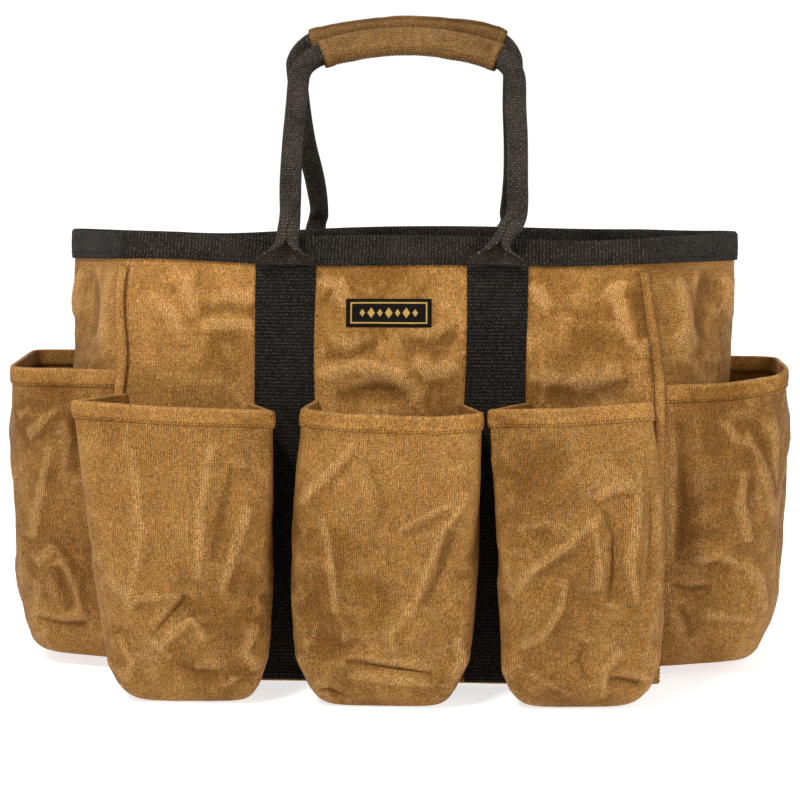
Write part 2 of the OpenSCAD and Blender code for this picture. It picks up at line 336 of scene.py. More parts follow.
class Graph:
    """Builds one node material."""

    def __init__(self, name):
        self.material = bpy.data.materials.new(name)
        self.material.use_nodes = True
        self.tree = self.material.node_tree
        self.tree.nodes.clear()
        out = self.tree.nodes.new("ShaderNodeOutputMaterial")
        self.shader = self.tree.nodes.new("ShaderNodeBsdfPrincipled")
        self.tree.links.new(self.shader.outputs[0], out.inputs[0])

    def put(self, socket, value):
        if isinstance(value, bpy.types.NodeSocket):
            self.tree.links.new(value, socket)
        elif value is not None:
            socket.default_value = value

    def node(self, kind, output, inputs=(), **settings):
        """One output of a new node. inputs are values or sockets, listed in order or by name."""
        node = self.tree.nodes.new("ShaderNode" + kind)
        for name, value in settings.items():
            setattr(node, name, value)
        for name, value in inputs.items() if isinstance(inputs, dict) else enumerate(inputs):
            self.put(node.inputs[name], value)
        return node.outputs[output]

    def shade(self, **inputs):
        """Sets or links the shader's sockets; an underscore stands for a space."""
        for name, value in inputs.items():
            self.put(self.shader.inputs[name.replace("_", " ")], value)

    def attribute(self, name, output="Vector"):
        return self.node("Attribute", output, attribute_name=name)

    def weave(self):
        """The two directions of the cloth's flat pattern, in metres."""
        flat = self.attribute("weave")
        return self.node("SeparateXYZ", 0, [flat]), self.node("SeparateXYZ", 1, [flat])

    def place(self):
        return self.node("TexCoord", "Object")

    def math(self, op, a, b=None):
        return self.node("Math", 0, (a, b), operation=op)

    def add(self, a, b):
        return self.math("ADD", a, b)

    def mul(self, a, b):
        return self.math("MULTIPLY", a, b)

    def sine(self, a):
        return self.math("SINE", a)

    def spread(self, noise, size):
        """A noise moved to lie about 0, times size."""
        return self.mul(self.math("SUBTRACT", noise, 0.5), size)

    def moved(self, place, by, share):
        """A place moved by a share of a vector."""
        by = self.node("VectorMath", 0, {0: by, "Scale": share}, operation="SCALE")
        return self.node("VectorMath", 0, (place, by), operation="ADD")

    def join(self, x, y, z=0.0):
        return self.node("CombineXYZ", 0, (x, y, z))

    def noise(self, vector, scale, detail=3.0, rough=0.55, distortion=0.0):
        return self.node("TexNoise", 0, {"Vector": vector, "Scale": scale, "Detail": detail, "Roughness": rough,
                                         "Distortion": distortion})

    def cloth_noise(self, u, v, along_u, along_v, *more):
        """A noise drawn out along the threads; along_u and along_v are its scales."""
        return self.noise(self.join(self.mul(u, along_u), self.mul(v, along_v)), 1.0, *more)

    def edges(self, vector, scale):
        """Distance to the edges of random cells."""
        return self.node("TexVoronoi", "Distance", {"Vector": vector, "Scale": scale}, feature="DISTANCE_TO_EDGE")

    def ramp(self, value, lo, hi, to_lo=0.0, to_hi=1.0):
        return self.node("MapRange", 0, (value, lo, hi, to_lo, to_hi), interpolation_type="SMOOTHSTEP")

    def mix(self, share, a, b, blend="MIX"):
        """A mix of two colours; 6, 7 and 2 are the colour sockets of the node."""
        return self.node("Mix", 2, {0: share, 6: a, 7: b}, data_type="RGBA", blend_type=blend)

    def bump(self, height, distance, strength, under=None):
        return self.node("Bump", 0, {"Height": height, "Distance": distance, "Strength": strength, "Normal": under})


def rgb(r, g, b):
    return (r, g, b, 1.0)


def canvas_material(name, tone=1.0, crumple=1.0, across=False):
    """Waxed cotton canvas: fine ribs, blotches, light creases where the wax has cracked, lighter rubbed ridges and
    painted shade darkening the hollows.
    """
    rib, weft = 1.45 * MM, 1.15 * MM
    g = Graph(name)
    place, wear_and_shade = g.place(), g.attribute("wear_and_shade", "Fac")
    u, v = g.weave()
    if across:
        u, v = v, u
    jitter = g.noise(place, 420.0, 2.0)
    slub = g.cloth_noise(u, v, 1000.0, 260.0, 1.0)
    bend = g.add(g.mul(jitter, 5.0), g.mul(g.noise(place, 60.0, 2.0), 9.0))
    warp = g.sine(g.add(g.mul(u, 2 * math.pi / rib), bend))
    pick = g.sine(g.add(g.mul(v, 2 * math.pi / weft), g.mul(jitter, 1.9)))
    grain = g.noise(place, 780.0, 3.0, 0.8)
    height = g.add(g.mul(warp, 0.6), g.add(g.mul(pick, 0.4), g.mul(g.mul(warp, pick), 0.3)))
    height = g.add(g.add(height, g.spread(slub, 2.4)), g.spread(grain, 8.0))

    large = g.noise(place, 8.0, 4.0, 0.6, 0.4)
    medium = g.noise(place, 30.0, 5.0, 0.62, 0.8)
    small = g.noise(place, 150.0, 3.0, 0.6)
    bend = g.join(g.noise(place, 9.0, 1.0), g.noise(place, 11.0, 1.0), small)
    crack = g.ramp(g.edges(g.moved(place, bend, 0.03), 19.0), 0.0, 0.07, 1.0, 0.0)
    crack = g.mul(crack, g.ramp(g.noise(place, 13.0, 2.0), 0.5, 0.72))
    scuff = g.cloth_noise(u, v, 55.0, 420.0, 2.0, 0.5, 1.5)
    scuff = g.mul(g.ramp(scuff, 0.68, 0.74), g.ramp(g.noise(place, 12.0, 1.0), 0.5, 0.66))

    def tint(*colour):
        return rgb(*(c * tone for c in colour))

    colour = g.mix(g.ramp(large, 0.34, 0.64), tint(0.205, 0.086, 0.015), tint(0.35, 0.163, 0.040))
    # Rubbed ridges are lightened; the hollows are darkened as painted shade.
    for share, over in ((g.mul(g.ramp(medium, 0.4, 0.82), 0.7), (0.49, 0.25, 0.066)),
                        (g.ramp(wear_and_shade, 0.05, 0.9, 0.0, 0.5), (0.56, 0.305, 0.105)),
                        (g.ramp(wear_and_shade, -0.9, -0.06, 0.5, 0.0), (0.13, 0.052, 0.009)),
                        (g.mul(crack, 0.2 * crumple), (0.60, 0.36, 0.15)),
                        (g.mul(scuff, 0.35), (0.62, 0.40, 0.19))):
        colour = g.mix(share, colour, tint(*over))
    speck = g.add(g.spread(g.cloth_noise(u, v, 380.0, 45.0, 2.0), 0.4), g.spread(small, 0.4))
    thread = g.add(g.mul(height, 0.46), g.add(speck, 0.95))
    thread = g.math("MINIMUM", g.math("MAXIMUM", thread, 0.46), 2.6)
    thread = g.join(thread, g.math("POWER", thread, 1.1), g.math("POWER", thread, 1.45))
    rough = g.add(g.mul(medium, 0.9), g.mul(crack, 0.3))
    g.shade(Base_Color=g.mix(1.0, colour, thread, "MULTIPLY"), Roughness=g.ramp(medium, 0.3, 0.8, 0.72, 0.55),
            Specular_IOR_Level=0.1, Normal=g.bump(height, 0.16 * MM, 0.8, g.bump(rough, 2.4 * MM * crumple, 0.7)))
    return g.material


def webbing_material(name, row, pick, tone, flecks=1.0):
    """Black cotton webbing: rows of short floats, each a rounded fleck, in brick bond."""
    g = Graph(name)
    place = g.place()
    u, v = g.weave()
    wobble = g.mul(g.noise(place, 260.0, 2.0), 0.7)
    rows = g.add(g.math("DIVIDE", v, row), wobble)
    shift = g.mul(g.math("FLOOR", rows), 0.5)
    cols = g.add(g.add(g.math("DIVIDE", u, pick), shift), g.mul(wobble, 0.8))
    a, b = (g.sine(g.mul(g.math("FRACT", x), math.pi)) for x in (cols, rows))
    floats = g.math("POWER", g.mul(a, b), 0.8)
    dust = g.noise(place, 620.0, 3.0, 0.7)
    patch = g.noise(place, 28.0, 3.0)
    fleck = g.mul(g.ramp(floats, 0.35, 0.95), g.ramp(dust, 0.4, 0.66, 0.0, flecks))
    colour = g.mix(g.ramp(patch, 0.3, 0.7), rgb(0.0065 * tone, 0.0047 * tone, 0.0034 * tone),
                   rgb(0.0135 * tone, 0.0105 * tone, 0.0079 * tone))
    colour = g.mix(fleck, colour, rgb(0.075 * tone, 0.062 * tone, 0.049 * tone))
    colour = g.mix(g.mul(g.ramp(dust, 0.66, 0.8), 0.3), colour, rgb(0.12, 0.10, 0.075))
    g.shade(Base_Color=colour, Roughness=0.95, Specular_IOR_Level=0.1, Sheen_Weight=0.02,
            Normal=g.bump(g.add(floats, g.mul(dust, 0.4)), 0.7 * MM, 0.9))
    return g.material


def thread_material(name, colour):
    g = Graph(name)
    twist = g.noise(g.place(), 2600.0, 2.0)
    g.shade(Base_Color=g.mix(g.ramp(twist, 0.3, 0.7), rgb(*(c * 0.7 for c in colour)), rgb(*colour)),
            Roughness=0.85, Specular_IOR_Level=0.12, Normal=g.bump(twist, 0.15 * MM, 0.6))
    return g.material


def woven_label_material(name, colour, gloss):
    g = Graph(name)
    u, v = g.weave()
    h = g.mul(g.sine(g.mul(u, 2 * math.pi / (0.42 * MM))), g.sine(g.mul(v, 2 * math.pi / (0.34 * MM))))
    tint = g.add(g.mul(h, 0.18), g.ramp(g.noise(g.place(), 500.0), 0.2, 0.8, 0.75, 1.1))
    g.shade(Base_Color=g.mix(1.0, rgb(*colour), g.join(tint, tint, tint), "MULTIPLY"), Roughness=0.55,
            Specular_IOR_Level=gloss, Normal=g.bump(h, 0.08 * MM, 0.7))
    return g.material


def board_material(name):
    g = Graph(name)
    grain = g.noise(g.place(), 900.0, 3.0, 0.6)
    marks = g.noise(g.place(), 25.0, 4.0, 0.6, 0.5)
    g.shade(Base_Color=g.mix(g.ramp(marks, 0.35, 0.7), rgb(0.018, 0.017, 0.016), rgb(0.038, 0.036, 0.034)),
            Roughness=g.ramp(marks, 0.2, 0.8, 0.45, 0.65), Normal=g.bump(grain, 0.12 * MM, 0.6))
    return g.material


# The panels' copy of the canvas is painted lighter as painted light and the pockets' copy darker as painted shade.
PANEL_CANVAS_LIT = canvas_material("waxed canvas", 1.13)
CANVAS_SIDE = canvas_material("waxed canvas gusset", 1.0, across=True)
POCKET_CANVAS_SHADED = canvas_material("waxed canvas pocket", 0.84, crumple=1.2)
HEM = canvas_material("waxed canvas hem", 1.06, crumple=0.6)
WELT = canvas_material("waxed canvas welt", 1.0, crumple=0.6)
GRIP = canvas_material("waxed canvas grip", 0.5, across=True, crumple=0.8)
# One black webbing in three tones: the straps painted darker as painted shade, the rim and most of all the handles
# painted lighter as painted light.
STRAP_WEBBING_SHADED = webbing_material("cotton webbing", 3.0 * MM, 2.3 * MM, 0.68, 1.9)
RIM_WEBBING_LIGHTER = webbing_material("cotton webbing rim", 2.9 * MM, 1.8 * MM, 1.42)
HANDLE_WEBBING_LIT = webbing_material("cotton webbing handle", 2.6 * MM, 2.2 * MM, 2.4, 0.75)
DARK_THREAD = thread_material("dark brown thread", (0.13, 0.06, 0.017))
BLACK_THREAD = thread_material("black thread", (0.012, 0.010, 0.009))
LABEL_BLACK = woven_label_material("label ground", (0.008, 0.0065, 0.0055), 0.05)
LABEL_GOLD = woven_label_material("label gold thread", (0.52, 0.33, 0.075), 0.2)
BOARD = board_material("stiff board")


# ---------------------------------------------------------------- the bag's shape

def half_depth(z):
    return BASE_Y + (MOUTH_Y - BASE_Y) * np.clip(z / RIM_TOP, 0, 1)


def crease_out(z):
    return (CREASE_X - PANEL_X) * np.sin(np.pi / 2 * np.clip(z / 0.23, 0, 1) ** 0.8)


def corner_x(z, side):
    """Half the width of the front panel on one side: a little wider below, where the bag is full."""
    v = np.clip(z / RIM_TOP, 0, 1)
    full = PANEL_X - 3 * MM + 4 * MM * np.sin(np.pi * v * 0.8 + 0.3)
    if side > 0:
        return full + 1 * MM - 12 * MM * ease((z - 0.24) / 0.12)
    return full - 2 * MM * ease((z - 0.25) / 0.1) + 2.2 * MM * np.sin((z - 0.30) * 60) * ease((z - 0.2) / 0.06)


def raise_rim(P):
    """The rim's height is a little uneven along the mouth: higher at the front corners, lower at the back left."""
    x, y, z = P[..., 0], P[..., 1], P[..., 2]
    front = 1.2 * np.sin(x * 11 + 0.6) + 0.8 * np.sin(x * 23 + 2.1) - 0.8
    front = front + 5.5 * bell(x, -0.2, 0.07) - 3.6 * bell(x, 0.16, 0.055)
    back = -7.0 * bell(x, -0.18, 0.09) - 2.5 * bell(x, 0.17, 0.1) + 0.8 * np.sin(x * 17)
    share = ease((y + 0.09) / 0.18)
    ends = 1.4 * bell(np.abs(x), 0.295, 0.03) * bell(y, 0, 0.05)
    P[..., 2] = z + ease((z - 0.30) / 0.07) * (front * (1 - share) + back * share + ends) * MM


def wall_spans(cols, rows=76):
    """Shares across a wall from -1 to 1, shares up it from 0 to 1 and heights, each as a grid."""
    u, v = np.meshgrid(np.linspace(-1, 1, cols), np.linspace(0, 1, rows))
    return u, v, WALL_LOW + (RIM_TOP - 1.5 * MM - WALL_LOW) * v


def belly(u, v):
    return BELLY * np.sin(np.pi * v) * (1 - u ** 2)


def panel_grid():
    """The front panel's unwrinkled sheet, left to right and bottom to top."""
    u, v, z = wall_spans(91)
    x = (1 + u) / 2 * corner_x(z, 1) - (1 - u) / 2 * corner_x(z, -1)
    return np.stack([x, -half_depth(z) - belly(u, v), z], -1)


def gusset_grid():
    """The right gusset's sheet, from the front corner seam to the back one."""
    u, _, z = wall_spans(52)
    creased = 1 - np.sqrt(u ** 2 + 0.012) + 0.11
    soft = 1 - np.abs(u) ** 2.2
    upper = ease((z - 0.16) / 0.2)
    corner = (1 - u) / 2 * corner_x(z, 1) + (1 + u) / 2 * corner_x(z, -1)
    reach = crease_out(z) + PANEL_X - corner
    out = reach * (creased * upper + soft * (1 - upper)) * (1 - np.abs(u) ** 14)
    return np.stack([corner + out, u * half_depth(z), z], -1)


def turned(P):
    """P after half a turn about the bag's upright axis."""
    return P * np.array([-1, -1, 1])


def wrinkle(P, seed, size, where):
    """Soft creases that a simulation at this resolution doesn't reach: ridged noise along the sheet's normal."""
    a = noise(P * np.array([1, 1, 0.55]), 0.085, seed, 2)
    b = 1 - np.abs(noise(P + 0.02 * a[..., None], 0.055, seed + 5, 2)) * 2.4
    c = noise(P, 0.022, seed + 9, 2)
    h = (1.5 * a + 2.0 * np.clip(b, -0.2, 1) ** 2 + 0.45 * c) * MM * size * where
    return P + normals(P) * h[..., None]


def fold(P, crease, face):
    """One crease pressed into a sheet; a positive depth is a ridge.

    Each crease falls away steeply on its lower right side and gently on the other.
    """
    depth, width, sharp = crease[:3]
    pts = np.reshape(crease[3:], (-1, 2)).astype(float) * MM
    best = np.full(P.shape[:2], 1e9)
    along = np.zeros(P.shape[:2])
    steep = np.zeros(P.shape[:2])
    total = run(pts)
    Q = P[..., [0, 2]]
    for k in range(len(pts) - 1):
        d = pts[k + 1] - pts[k]
        t = np.clip(((Q - pts[k]) @ d) / (d @ d), 0, 1)
        away = Q - (pts[k] + t[..., None] * d)
        dist = np.linalg.norm(away, axis=-1)
        near = dist < best
        best = np.where(near, dist, best)
        steep = np.where(near, away @ np.array([0.8, -0.6]) / np.maximum(dist, 1e-9), steep)
        along = np.where(near, (total[k] + t * (total[k + 1] - total[k])) / total[-1], along)
    w = width * MM * (1.15 - 0.6 * np.clip(steep * np.sign(depth) * 2, -0.6, 1))
    soft = np.exp(-(best / w) ** 2)
    crisp = np.exp(-np.sqrt(best ** 2 + (0.12 * w) ** 2) / (0.6 * w))
    taper = np.clip(np.sin(np.pi * np.clip(along, 0, 1)), 0, 1) ** 0.5
    h = 1.75 * depth * MM * taper * (soft * (1 - sharp) + crisp * sharp)
    return P + normals(P) * (h * face)[..., None]


def folds(P, creases, face):
    for crease in creases:
        P = fold(P, crease, face)
    return P


# Creases: depth, width and sharpness, then x and z of its points, all but the sharpness in millimetres
CREASES = {
    "panel": [
        (3.2, 8, 0.6, -186, 350, -169, 340, -163, 325, -160, 308), (-4, 8, 0.5, -163, 314, -136, 317, -108, 314),
        (2.2, 7, 0.4, -165, 304, -136, 302, -112, 304), (2, 12, 0.3, -205, 330, -180, 312, -168, 290),
        (2.4, 9, 0.5, -60, 346, -40, 336, -30, 318), (-4, 9, 0.6, -54, 282, -34, 276, -8, 288),
        (3.2, 9, 0.5, -56, 262, -20, 268, 10, 258, 30, 240), (-3, 9, 0.4, -46, 244, -10, 250, 24, 246),
        (-3.5, 8, 0.5, 60, 300, 40, 286, 10, 292), (2.6, 8, 0.5, 62, 268, 40, 262, 22, 276),
        (1.8, 8, 0.4, 118, 340, 128, 332, 140, 318), (-4, 9, 0.5, 196, 336, 206, 310, 214, 290),
        (-1.6, 14, 0.2, 150, 300, 176, 290, 200, 292), (1.6, 12, 0.3, 118, 262, 150, 256, 200, 262),
        (-2.6, 12, 0.3, 135, 250, 160, 240, 208, 258), (2.5, 8, 0.5, 190, 344, 200, 326, 212, 300)],
    "gusset": [
        (-4, 12, 0.3, 268, 352, 262, 312, 264, 270), (3, 10, 0.4, 242, 350, 250, 310, 246, 270),
        (3, 7, 0.5, 280, 352, 288, 330, 292, 300), (2.5, 8, 0.5, 240, 300, 256, 290, 270, 270)],
    "side": [
        (1.8, 9, 0.6, -40, 236, -58, 190, -80, 160), (-2, 9, 0.5, -60, 200, -66, 140, -72, 90),
        (-2.5, 9, 0.6, -30, 110, -50, 130, -70, 100, -62, 60), (2, 8, 0.7, -60, 96, -45, 60, -30, 30),
        (-2.5, 10, 0.6, 30, 220, 45, 160, 60, 100), (-2.5, 9, 0.5, 0, 90, 40, 80, 70, 92)],
    "left_side": [
        (3, 7, 0.6, -268, 247, -290, 224, -309, 203), (-4, 11, 0.3, -270, 236, -268, 205, -267, 170),
        (2.6, 9, 0.5, -289, 200, -299, 149, -306, 114), (2.4, 6, 0.5, -303, 238, -318, 220),
        (3.8, 8, 0.7, -286, 112, -270, 78, -262, 44), (3, 7, 0.5, -286, 112, -304, 92),
        (-4, 9, 0.4, -289, 94, -277, 52), (-3, 6, 0.6, -308, 45, -286, 40, -260, 42)],
    "right_side": [
        (-4, 9, 0.5, 243, 236, 246, 205, 247, 150, 245, 100), (4, 6, 0.8, 301, 218, 312, 192, 322, 160, 330, 140),
        (4, 7, 0.7, 302, 182, 298, 155, 306, 120), (3, 7, 0.5, 322, 240, 326, 200, 330, 160),
        (2.2, 7, 0.6, 275, 238, 290, 214, 302, 200), (3, 7, 0.6, 256, 104, 280, 108, 302, 100),
        (-3.5, 5, 0.7, 240, 84, 256, 80, 274, 82), (3.2, 8, 0.6, 300, 106, 316, 84, 322, 56),
        (-3, 6, 0.7, 246, 66, 254, 52, 258, 36), (2.2, 8, 0.4, 262, 58, 290, 54, 314, 52)],
    "left": [
        (4, 13, 0.5, -133, 222, -142, 165, -145, 105), (-3.5, 9, 0.3, -118, 200, -126, 160, -132, 120),
        (3.5, 9, 0.6, -103, 168, -117, 125, -127, 95), (-4.5, 7, 0.8, -154, 95, -174, 71, -184, 59),
        (4.5, 9, 0.8, -150, 76, -132, 47, -117, 20), (3, 8, 0.6, -150, 76, -168, 60, -178, 46),
        (-3.5, 7, 0.4, -140, 58, -128, 34, -122, 22), (3.2, 14, 0.4, -205, 222, -193, 185, -190, 145, -205, 65),
        (3, 10, 0.5, -222, 110, -195, 92, -160, 94), (3, 8, 0.6, -100, 70, -108, 48, -98, 30),
        (2.5, 8, 0.6, -212, 60, -200, 38, -205, 18), (-2.5, 8, 0.4, -170, 40, -150, 28, -128, 30)],
    "middle": [
        (3.5, 8, 0.7, -14, 224, -27, 207, -52, 180, -63, 166),
        (3.2, 10, 0.5, -44, 160, -39, 135, -35, 108, -34, 80), (4, 9, 0.7, 73, 180, 52, 149, 42, 121, 24, 80),
        (-3, 9, 0.3, 60, 150, 52, 118, 38, 88), (2.5, 7, 0.7, 14, 147, 38, 160, 62, 172),
        (-5, 7, 0.7, -27, 40, 11, 35, 46, 31), (2.5, 7, 0.4, -27, 30, 11, 25, 46, 22),
        (-4, 5, 0.7, -60, 14, -42, 15, -26, 8), (3.2, 6, 0.7, 64, 62, 70, 42, 56, 14),
        (-2.5, 10, 0.3, -52, 62, -30, 52, -8, 58), (-2.6, 12, 0.3, -8, 205, 4, 170, -6, 135),
        (2.4, 9, 0.5, 30, 90, 10, 66, 14, 48)],
    "right": [
        (-5, 7, 0.7, 178, 166, 187, 144, 187, 116, 184, 90), (3, 9, 0.3, 170, 158, 176, 128, 174, 100),
        (3, 7, 0.6, 172, 172, 184, 181, 203, 184), (4, 8, 0.6, 207, 200, 206, 162, 202, 125, 207, 86),
        (-3, 8, 0.2, 218, 190, 219, 150, 217, 105), (3.5, 10, 0.6, 179, 164, 153, 140, 123, 118, 106, 94),
        (3.4, 9, 0.6, 150, 112, 146, 88, 132, 65, 110, 51), (3.6, 8, 0.6, 196, 52, 181, 37, 181, 10),
        (-4.5, 6, 0.8, 184, 28, 199, 25, 219, 19), (2, 10, 0.4, 110, 150, 134, 156, 160, 150),
        (-2.5, 8, 0.4, 165, 60, 160, 42, 168, 22), (2, 8, 0.5, 120, 34, 142, 22, 160, 12)],
}


# ---------------------------------------------------------------- pockets

def at_height(z, knots):
    """Value at each height z of a list of (height, value)."""
    return np.interp(z, *zip(*knots))


def pocket_grid(spec):
    """A pocket's sheet in its own frame: sewn to the plane y = 0 and standing out towards -y.

    Rows run from the back of its floor, forwards, round the bottom edge and up to the hem.
    Columns run from its left seam round the front to its right seam.
    """
    side, turn, face = 13, 7, 27
    R, top = spec["round"], spec["z"]
    s_side, s_turn, s_face = np.linspace(0, 1, side), np.linspace(0, 1, turn)[1:], np.linspace(0, 1, face)[1:]

    def path(z, pull):
        """The outline at height z, with its front and sides pulled in by pull."""
        xa, xb = spec["seam"]
        fa, fb, ya, yb = (at_height(z, spec[k]) for k in ("left", "right", "out_left", "out_right"))
        fa, fb, ya, yb = fa + 0.45 * pull, fb - 0.45 * pull, ya - pull, yb - pull
        xa, xb = xa + 0.4 * pull, xb - 0.4 * pull
        high = float(ease((z - 0.05) / (top - 0.06)))
        r = spec["corner"] + (spec["top_corner"] - spec["corner"]) * high + 0.15 * pull
        bow = POCKET_BOW * np.sin(np.pi * np.clip(z / top, 0, 1) ** 0.8)
        A, B = np.array([xa, 0.0]), np.array([xb, 0.0])
        C, D = np.array([fa, -ya]), np.array([fb, -yb])
        left, front, right = unit(C - A), unit(D - C), unit(B - D)
        p1, p2, p3, p4 = C - left * r, C + front * r, D - front * r, D + right * r
        out = np.array([left[1], -left[0]])
        pts = [A + (p1 - A) * t + out * bow * 0.6 * np.sin(np.pi * t) for t in s_side]
        pts += [(1 - t) ** 2 * p1 + 2 * t * (1 - t) * C + t * t * p2 for t in s_turn]
        out = np.array([front[1], -front[0]])
        pts += [p2 + (p3 - p2) * t + out * bow * np.sin(np.pi * t) for t in s_face]
        pts += [(1 - t) ** 2 * p3 + 2 * t * (1 - t) * D + t * t * p4 for t in s_turn]
        out = np.array([right[1], -right[0]])
        pts += [p4 + (B - p4) * t + out * bow * 0.6 * np.sin(np.pi * t) for t in s_side[1:]]
        return np.array(pts)

    def row(xy, z):
        return np.column_stack([xy, np.ones(len(xy)) * z])

    base = path(0.0, R)
    centre = np.array([sum(spec["seam"]) / 2, 0.0])
    grid = [row(centre + (base - centre) * share, POCKET_LOW) for share in np.linspace(0.12, 1, 6)]
    for a in np.linspace(0, np.pi / 2, 10)[1:-1]:
        up = R * (1 - math.cos(a))
        grid.append(row(path(up, R * (1 - math.sin(a))), POCKET_LOW + up))
    for z in np.linspace(R, top, 46):
        xy = path(z, 0.0)
        lift = at_height(np.linspace(0, 1, len(xy)), spec["hem"]) * ease((z - 0.5 * top) / (0.5 * top))
        grid.append(row(xy, z + lift))
    return np.array(grid)


def pocket_spec(sizes, seam, left, right, out_left, out_right, hem, creases):
    """A pocket's shape. At each height, its sides stand at left and right and reach out_left and out_right forwards."""
    def mm(pairs):
        return [(a * MM, b * MM) for a, b in pairs]
    return dict(sizes, seam=(seam[0] * MM, seam[1] * MM), left=mm(left), right=mm(right), out_left=mm(out_left),
                out_right=mm(out_right), hem=[(share, lift * MM) for share, lift in hem], creases=creases)


POCKET_LOW, POCKET_BOW = 1.0 * MM, 4 * MM
FRONT_SIZES = {"z": POCKET_Z - 2 * MM, "round": 15 * MM, "corner": 17 * MM, "top_corner": 8 * MM, "inset": 0.22}
SIDE_SIZES = {"z": SIDE_Z - 2 * MM, "round": 13 * MM, "corner": 22 * MM, "top_corner": 20 * MM, "inset": 0.02}
FRONT_POCKETS = {
    "left": pocket_spec(
        FRONT_SIZES, (-222, -115), ((0, -206), (12, -214), (30, -225), (90, -234), (170, -241), (242, -249)),
        ((0, -104), (18, -95), (38, -88), (120, -86), (242, -84)),
        ((0, 80), (120, 93), (242, 96)), ((0, 80), (120, 93), (242, 97)),
        ((0, 3), (0.26, 9), (0.5, 4), (0.74, 2), (1, -4)), CREASES["left"]),
    "middle": pocket_spec(
        FRONT_SIZES, (-60, 62), ((0, -48), (18, -58), (38, -70), (90, -73), (170, -68), (242, -62)),
        ((0, 52), (18, 62), (38, 74), (90, 78), (170, 81), (242, 83)),
        ((0, 85), (120, 96), (242, 98)), ((0, 85), (120, 96), (242, 98)),
        ((0, -1), (0.26, 4), (0.38, 0), (0.62, -2), (0.76, 2), (1, -3)), CREASES["middle"]),
    "right": pocket_spec(
        FRONT_SIZES, (120, 219), ((0, 112), (14, 103), (30, 96), (90, 95), (170, 91), (242, 86)),
        ((0, 205), (18, 220), (40, 229), (100, 231), (170, 226), (242, 217)),
        ((0, 83), (120, 95), (242, 97)), ((0, 76), (120, 84), (242, 73)),
        ((0, -2), (0.26, 4), (0.5, 4), (0.74, 8), (1, 0)), CREASES["right"]),
}
SIDE_POCKETS = {
    "right": pocket_spec(
        SIDE_SIZES, (-109, 104), ((0, -88), (40, -98), (120, -103), (258, -104)),
        ((0, 80), (40, 92), (120, 98), (258, 96)),
        ((0, 84), (30, 92), (60, 97), (120, 97), (200, 99), (258, 107)),
        ((0, 103), (30, 111), (80, 116), (180, 118), (258, 121)),
        ((0, -4), (0.12, -2), (0.27, 8.5), (0.5, 6), (0.7, 1), (1, 1)), CREASES["side"]),
    "left": pocket_spec(
        SIDE_SIZES, (-109, 104), ((0, -88), (40, -97), (120, -103), (258, -104)),
        ((0, 80), (40, 92), (120, 98), (258, 98)),
        ((0, 84), (30, 90), (80, 94), (180, 93), (258, 95)), ((0, 102), (30, 109), (80, 112), (180, 116), (258, 122)),
        ((0, 6), (0.3, 8), (0.5, 6), (0.7, 4), (1, 2)), CREASES["side"][::-1]),
}


def cut_larger(P, seed, tall=1.05, wide=1.03, low=0.10):
    """The pocket's cut shape, a little longer and wider than the room it has, most of all near the bottom."""
    z = P[..., 2]
    fuller = 1 - ease((z - 0.02) / low)
    Q = P.copy()
    mid = P.mean(1, keepdims=True)
    Q[..., :2] = mid[..., :2] + (P[..., :2] - mid[..., :2]) * (wide + 0.10 * fuller)[..., None]
    Q[..., 2] = z * tall + 15 * MM * fuller * ease(z / 0.02)
    uneven = noise(P, 0.07, seed, 2)[..., None]
    return Q + 2.0 * MM * uneven * normals(P)


def settle_pocket(spec, seed):
    """Lets a pocket sag and crumple, then presses its main creases into the cloth."""
    P = pocket_grid(spec)
    pin = np.zeros(P.shape[:2])
    pin[:, 0] = pin[:, -1] = 1
    pin[:4] = 1
    pin[-3:] = 0.8
    start = P + normals(P) * (1.2 * MM * noise(P, 0.06, seed + 40, 2))[..., None]
    S = simulate(start, pin, cut_larger(P, seed), frames=26, pressure=1.2, gravity=1.0, bending=9.0)
    S = limited(P, smooth(S - P, 1), POCKET_MOVE)
    S[..., 2] = np.maximum(S[..., 2], 0.9 * MM)
    fine, height = refine(S), refine(P)[..., 2]
    cols = np.linspace(0, 1, fine.shape[1])[None, :]
    face = ease((cols - spec["inset"]) / 0.07) * ease((1 - spec["inset"] - cols) / 0.07)
    face = face * ease(height / 0.008) * ease((spec["z"] - 0.012 - height) / 0.015)
    return folds(fine, spec["creases"], face)


def in_panel_frame(S):
    """Moves a front pocket's grid from its own frame onto the leaning front panel, whose belly its edges follow."""
    out = S.copy()
    bulge = belly(S[..., 0] / PANEL_X, np.clip(S[..., 2] / RIM_TOP, 0, 1))
    near = 1 - ease(-S[..., 1] / 0.05)
    out[..., 1] -= half_depth(S[..., 2]) + 2.6 * MM + 0.85 * bulge * near
    return out


def in_side_frame(S, mirror):
    """Moves a side pocket's grid onto a gusset: the right one, or mirrored onto the left one."""
    out = np.empty_like(S)
    out[..., 0] = -S[..., 1] + PANEL_X + 4 * MM
    out[..., 1] = S[..., 0]
    low = 1 - ease(S[..., 2] / 0.12)
    out[..., 2] = S[..., 2] + 11 * MM * low * ease((-S[..., 0] - 0.02) / 0.07)
    return out[:, ::-1] * np.array([-1, 1, 1]) if mirror else out


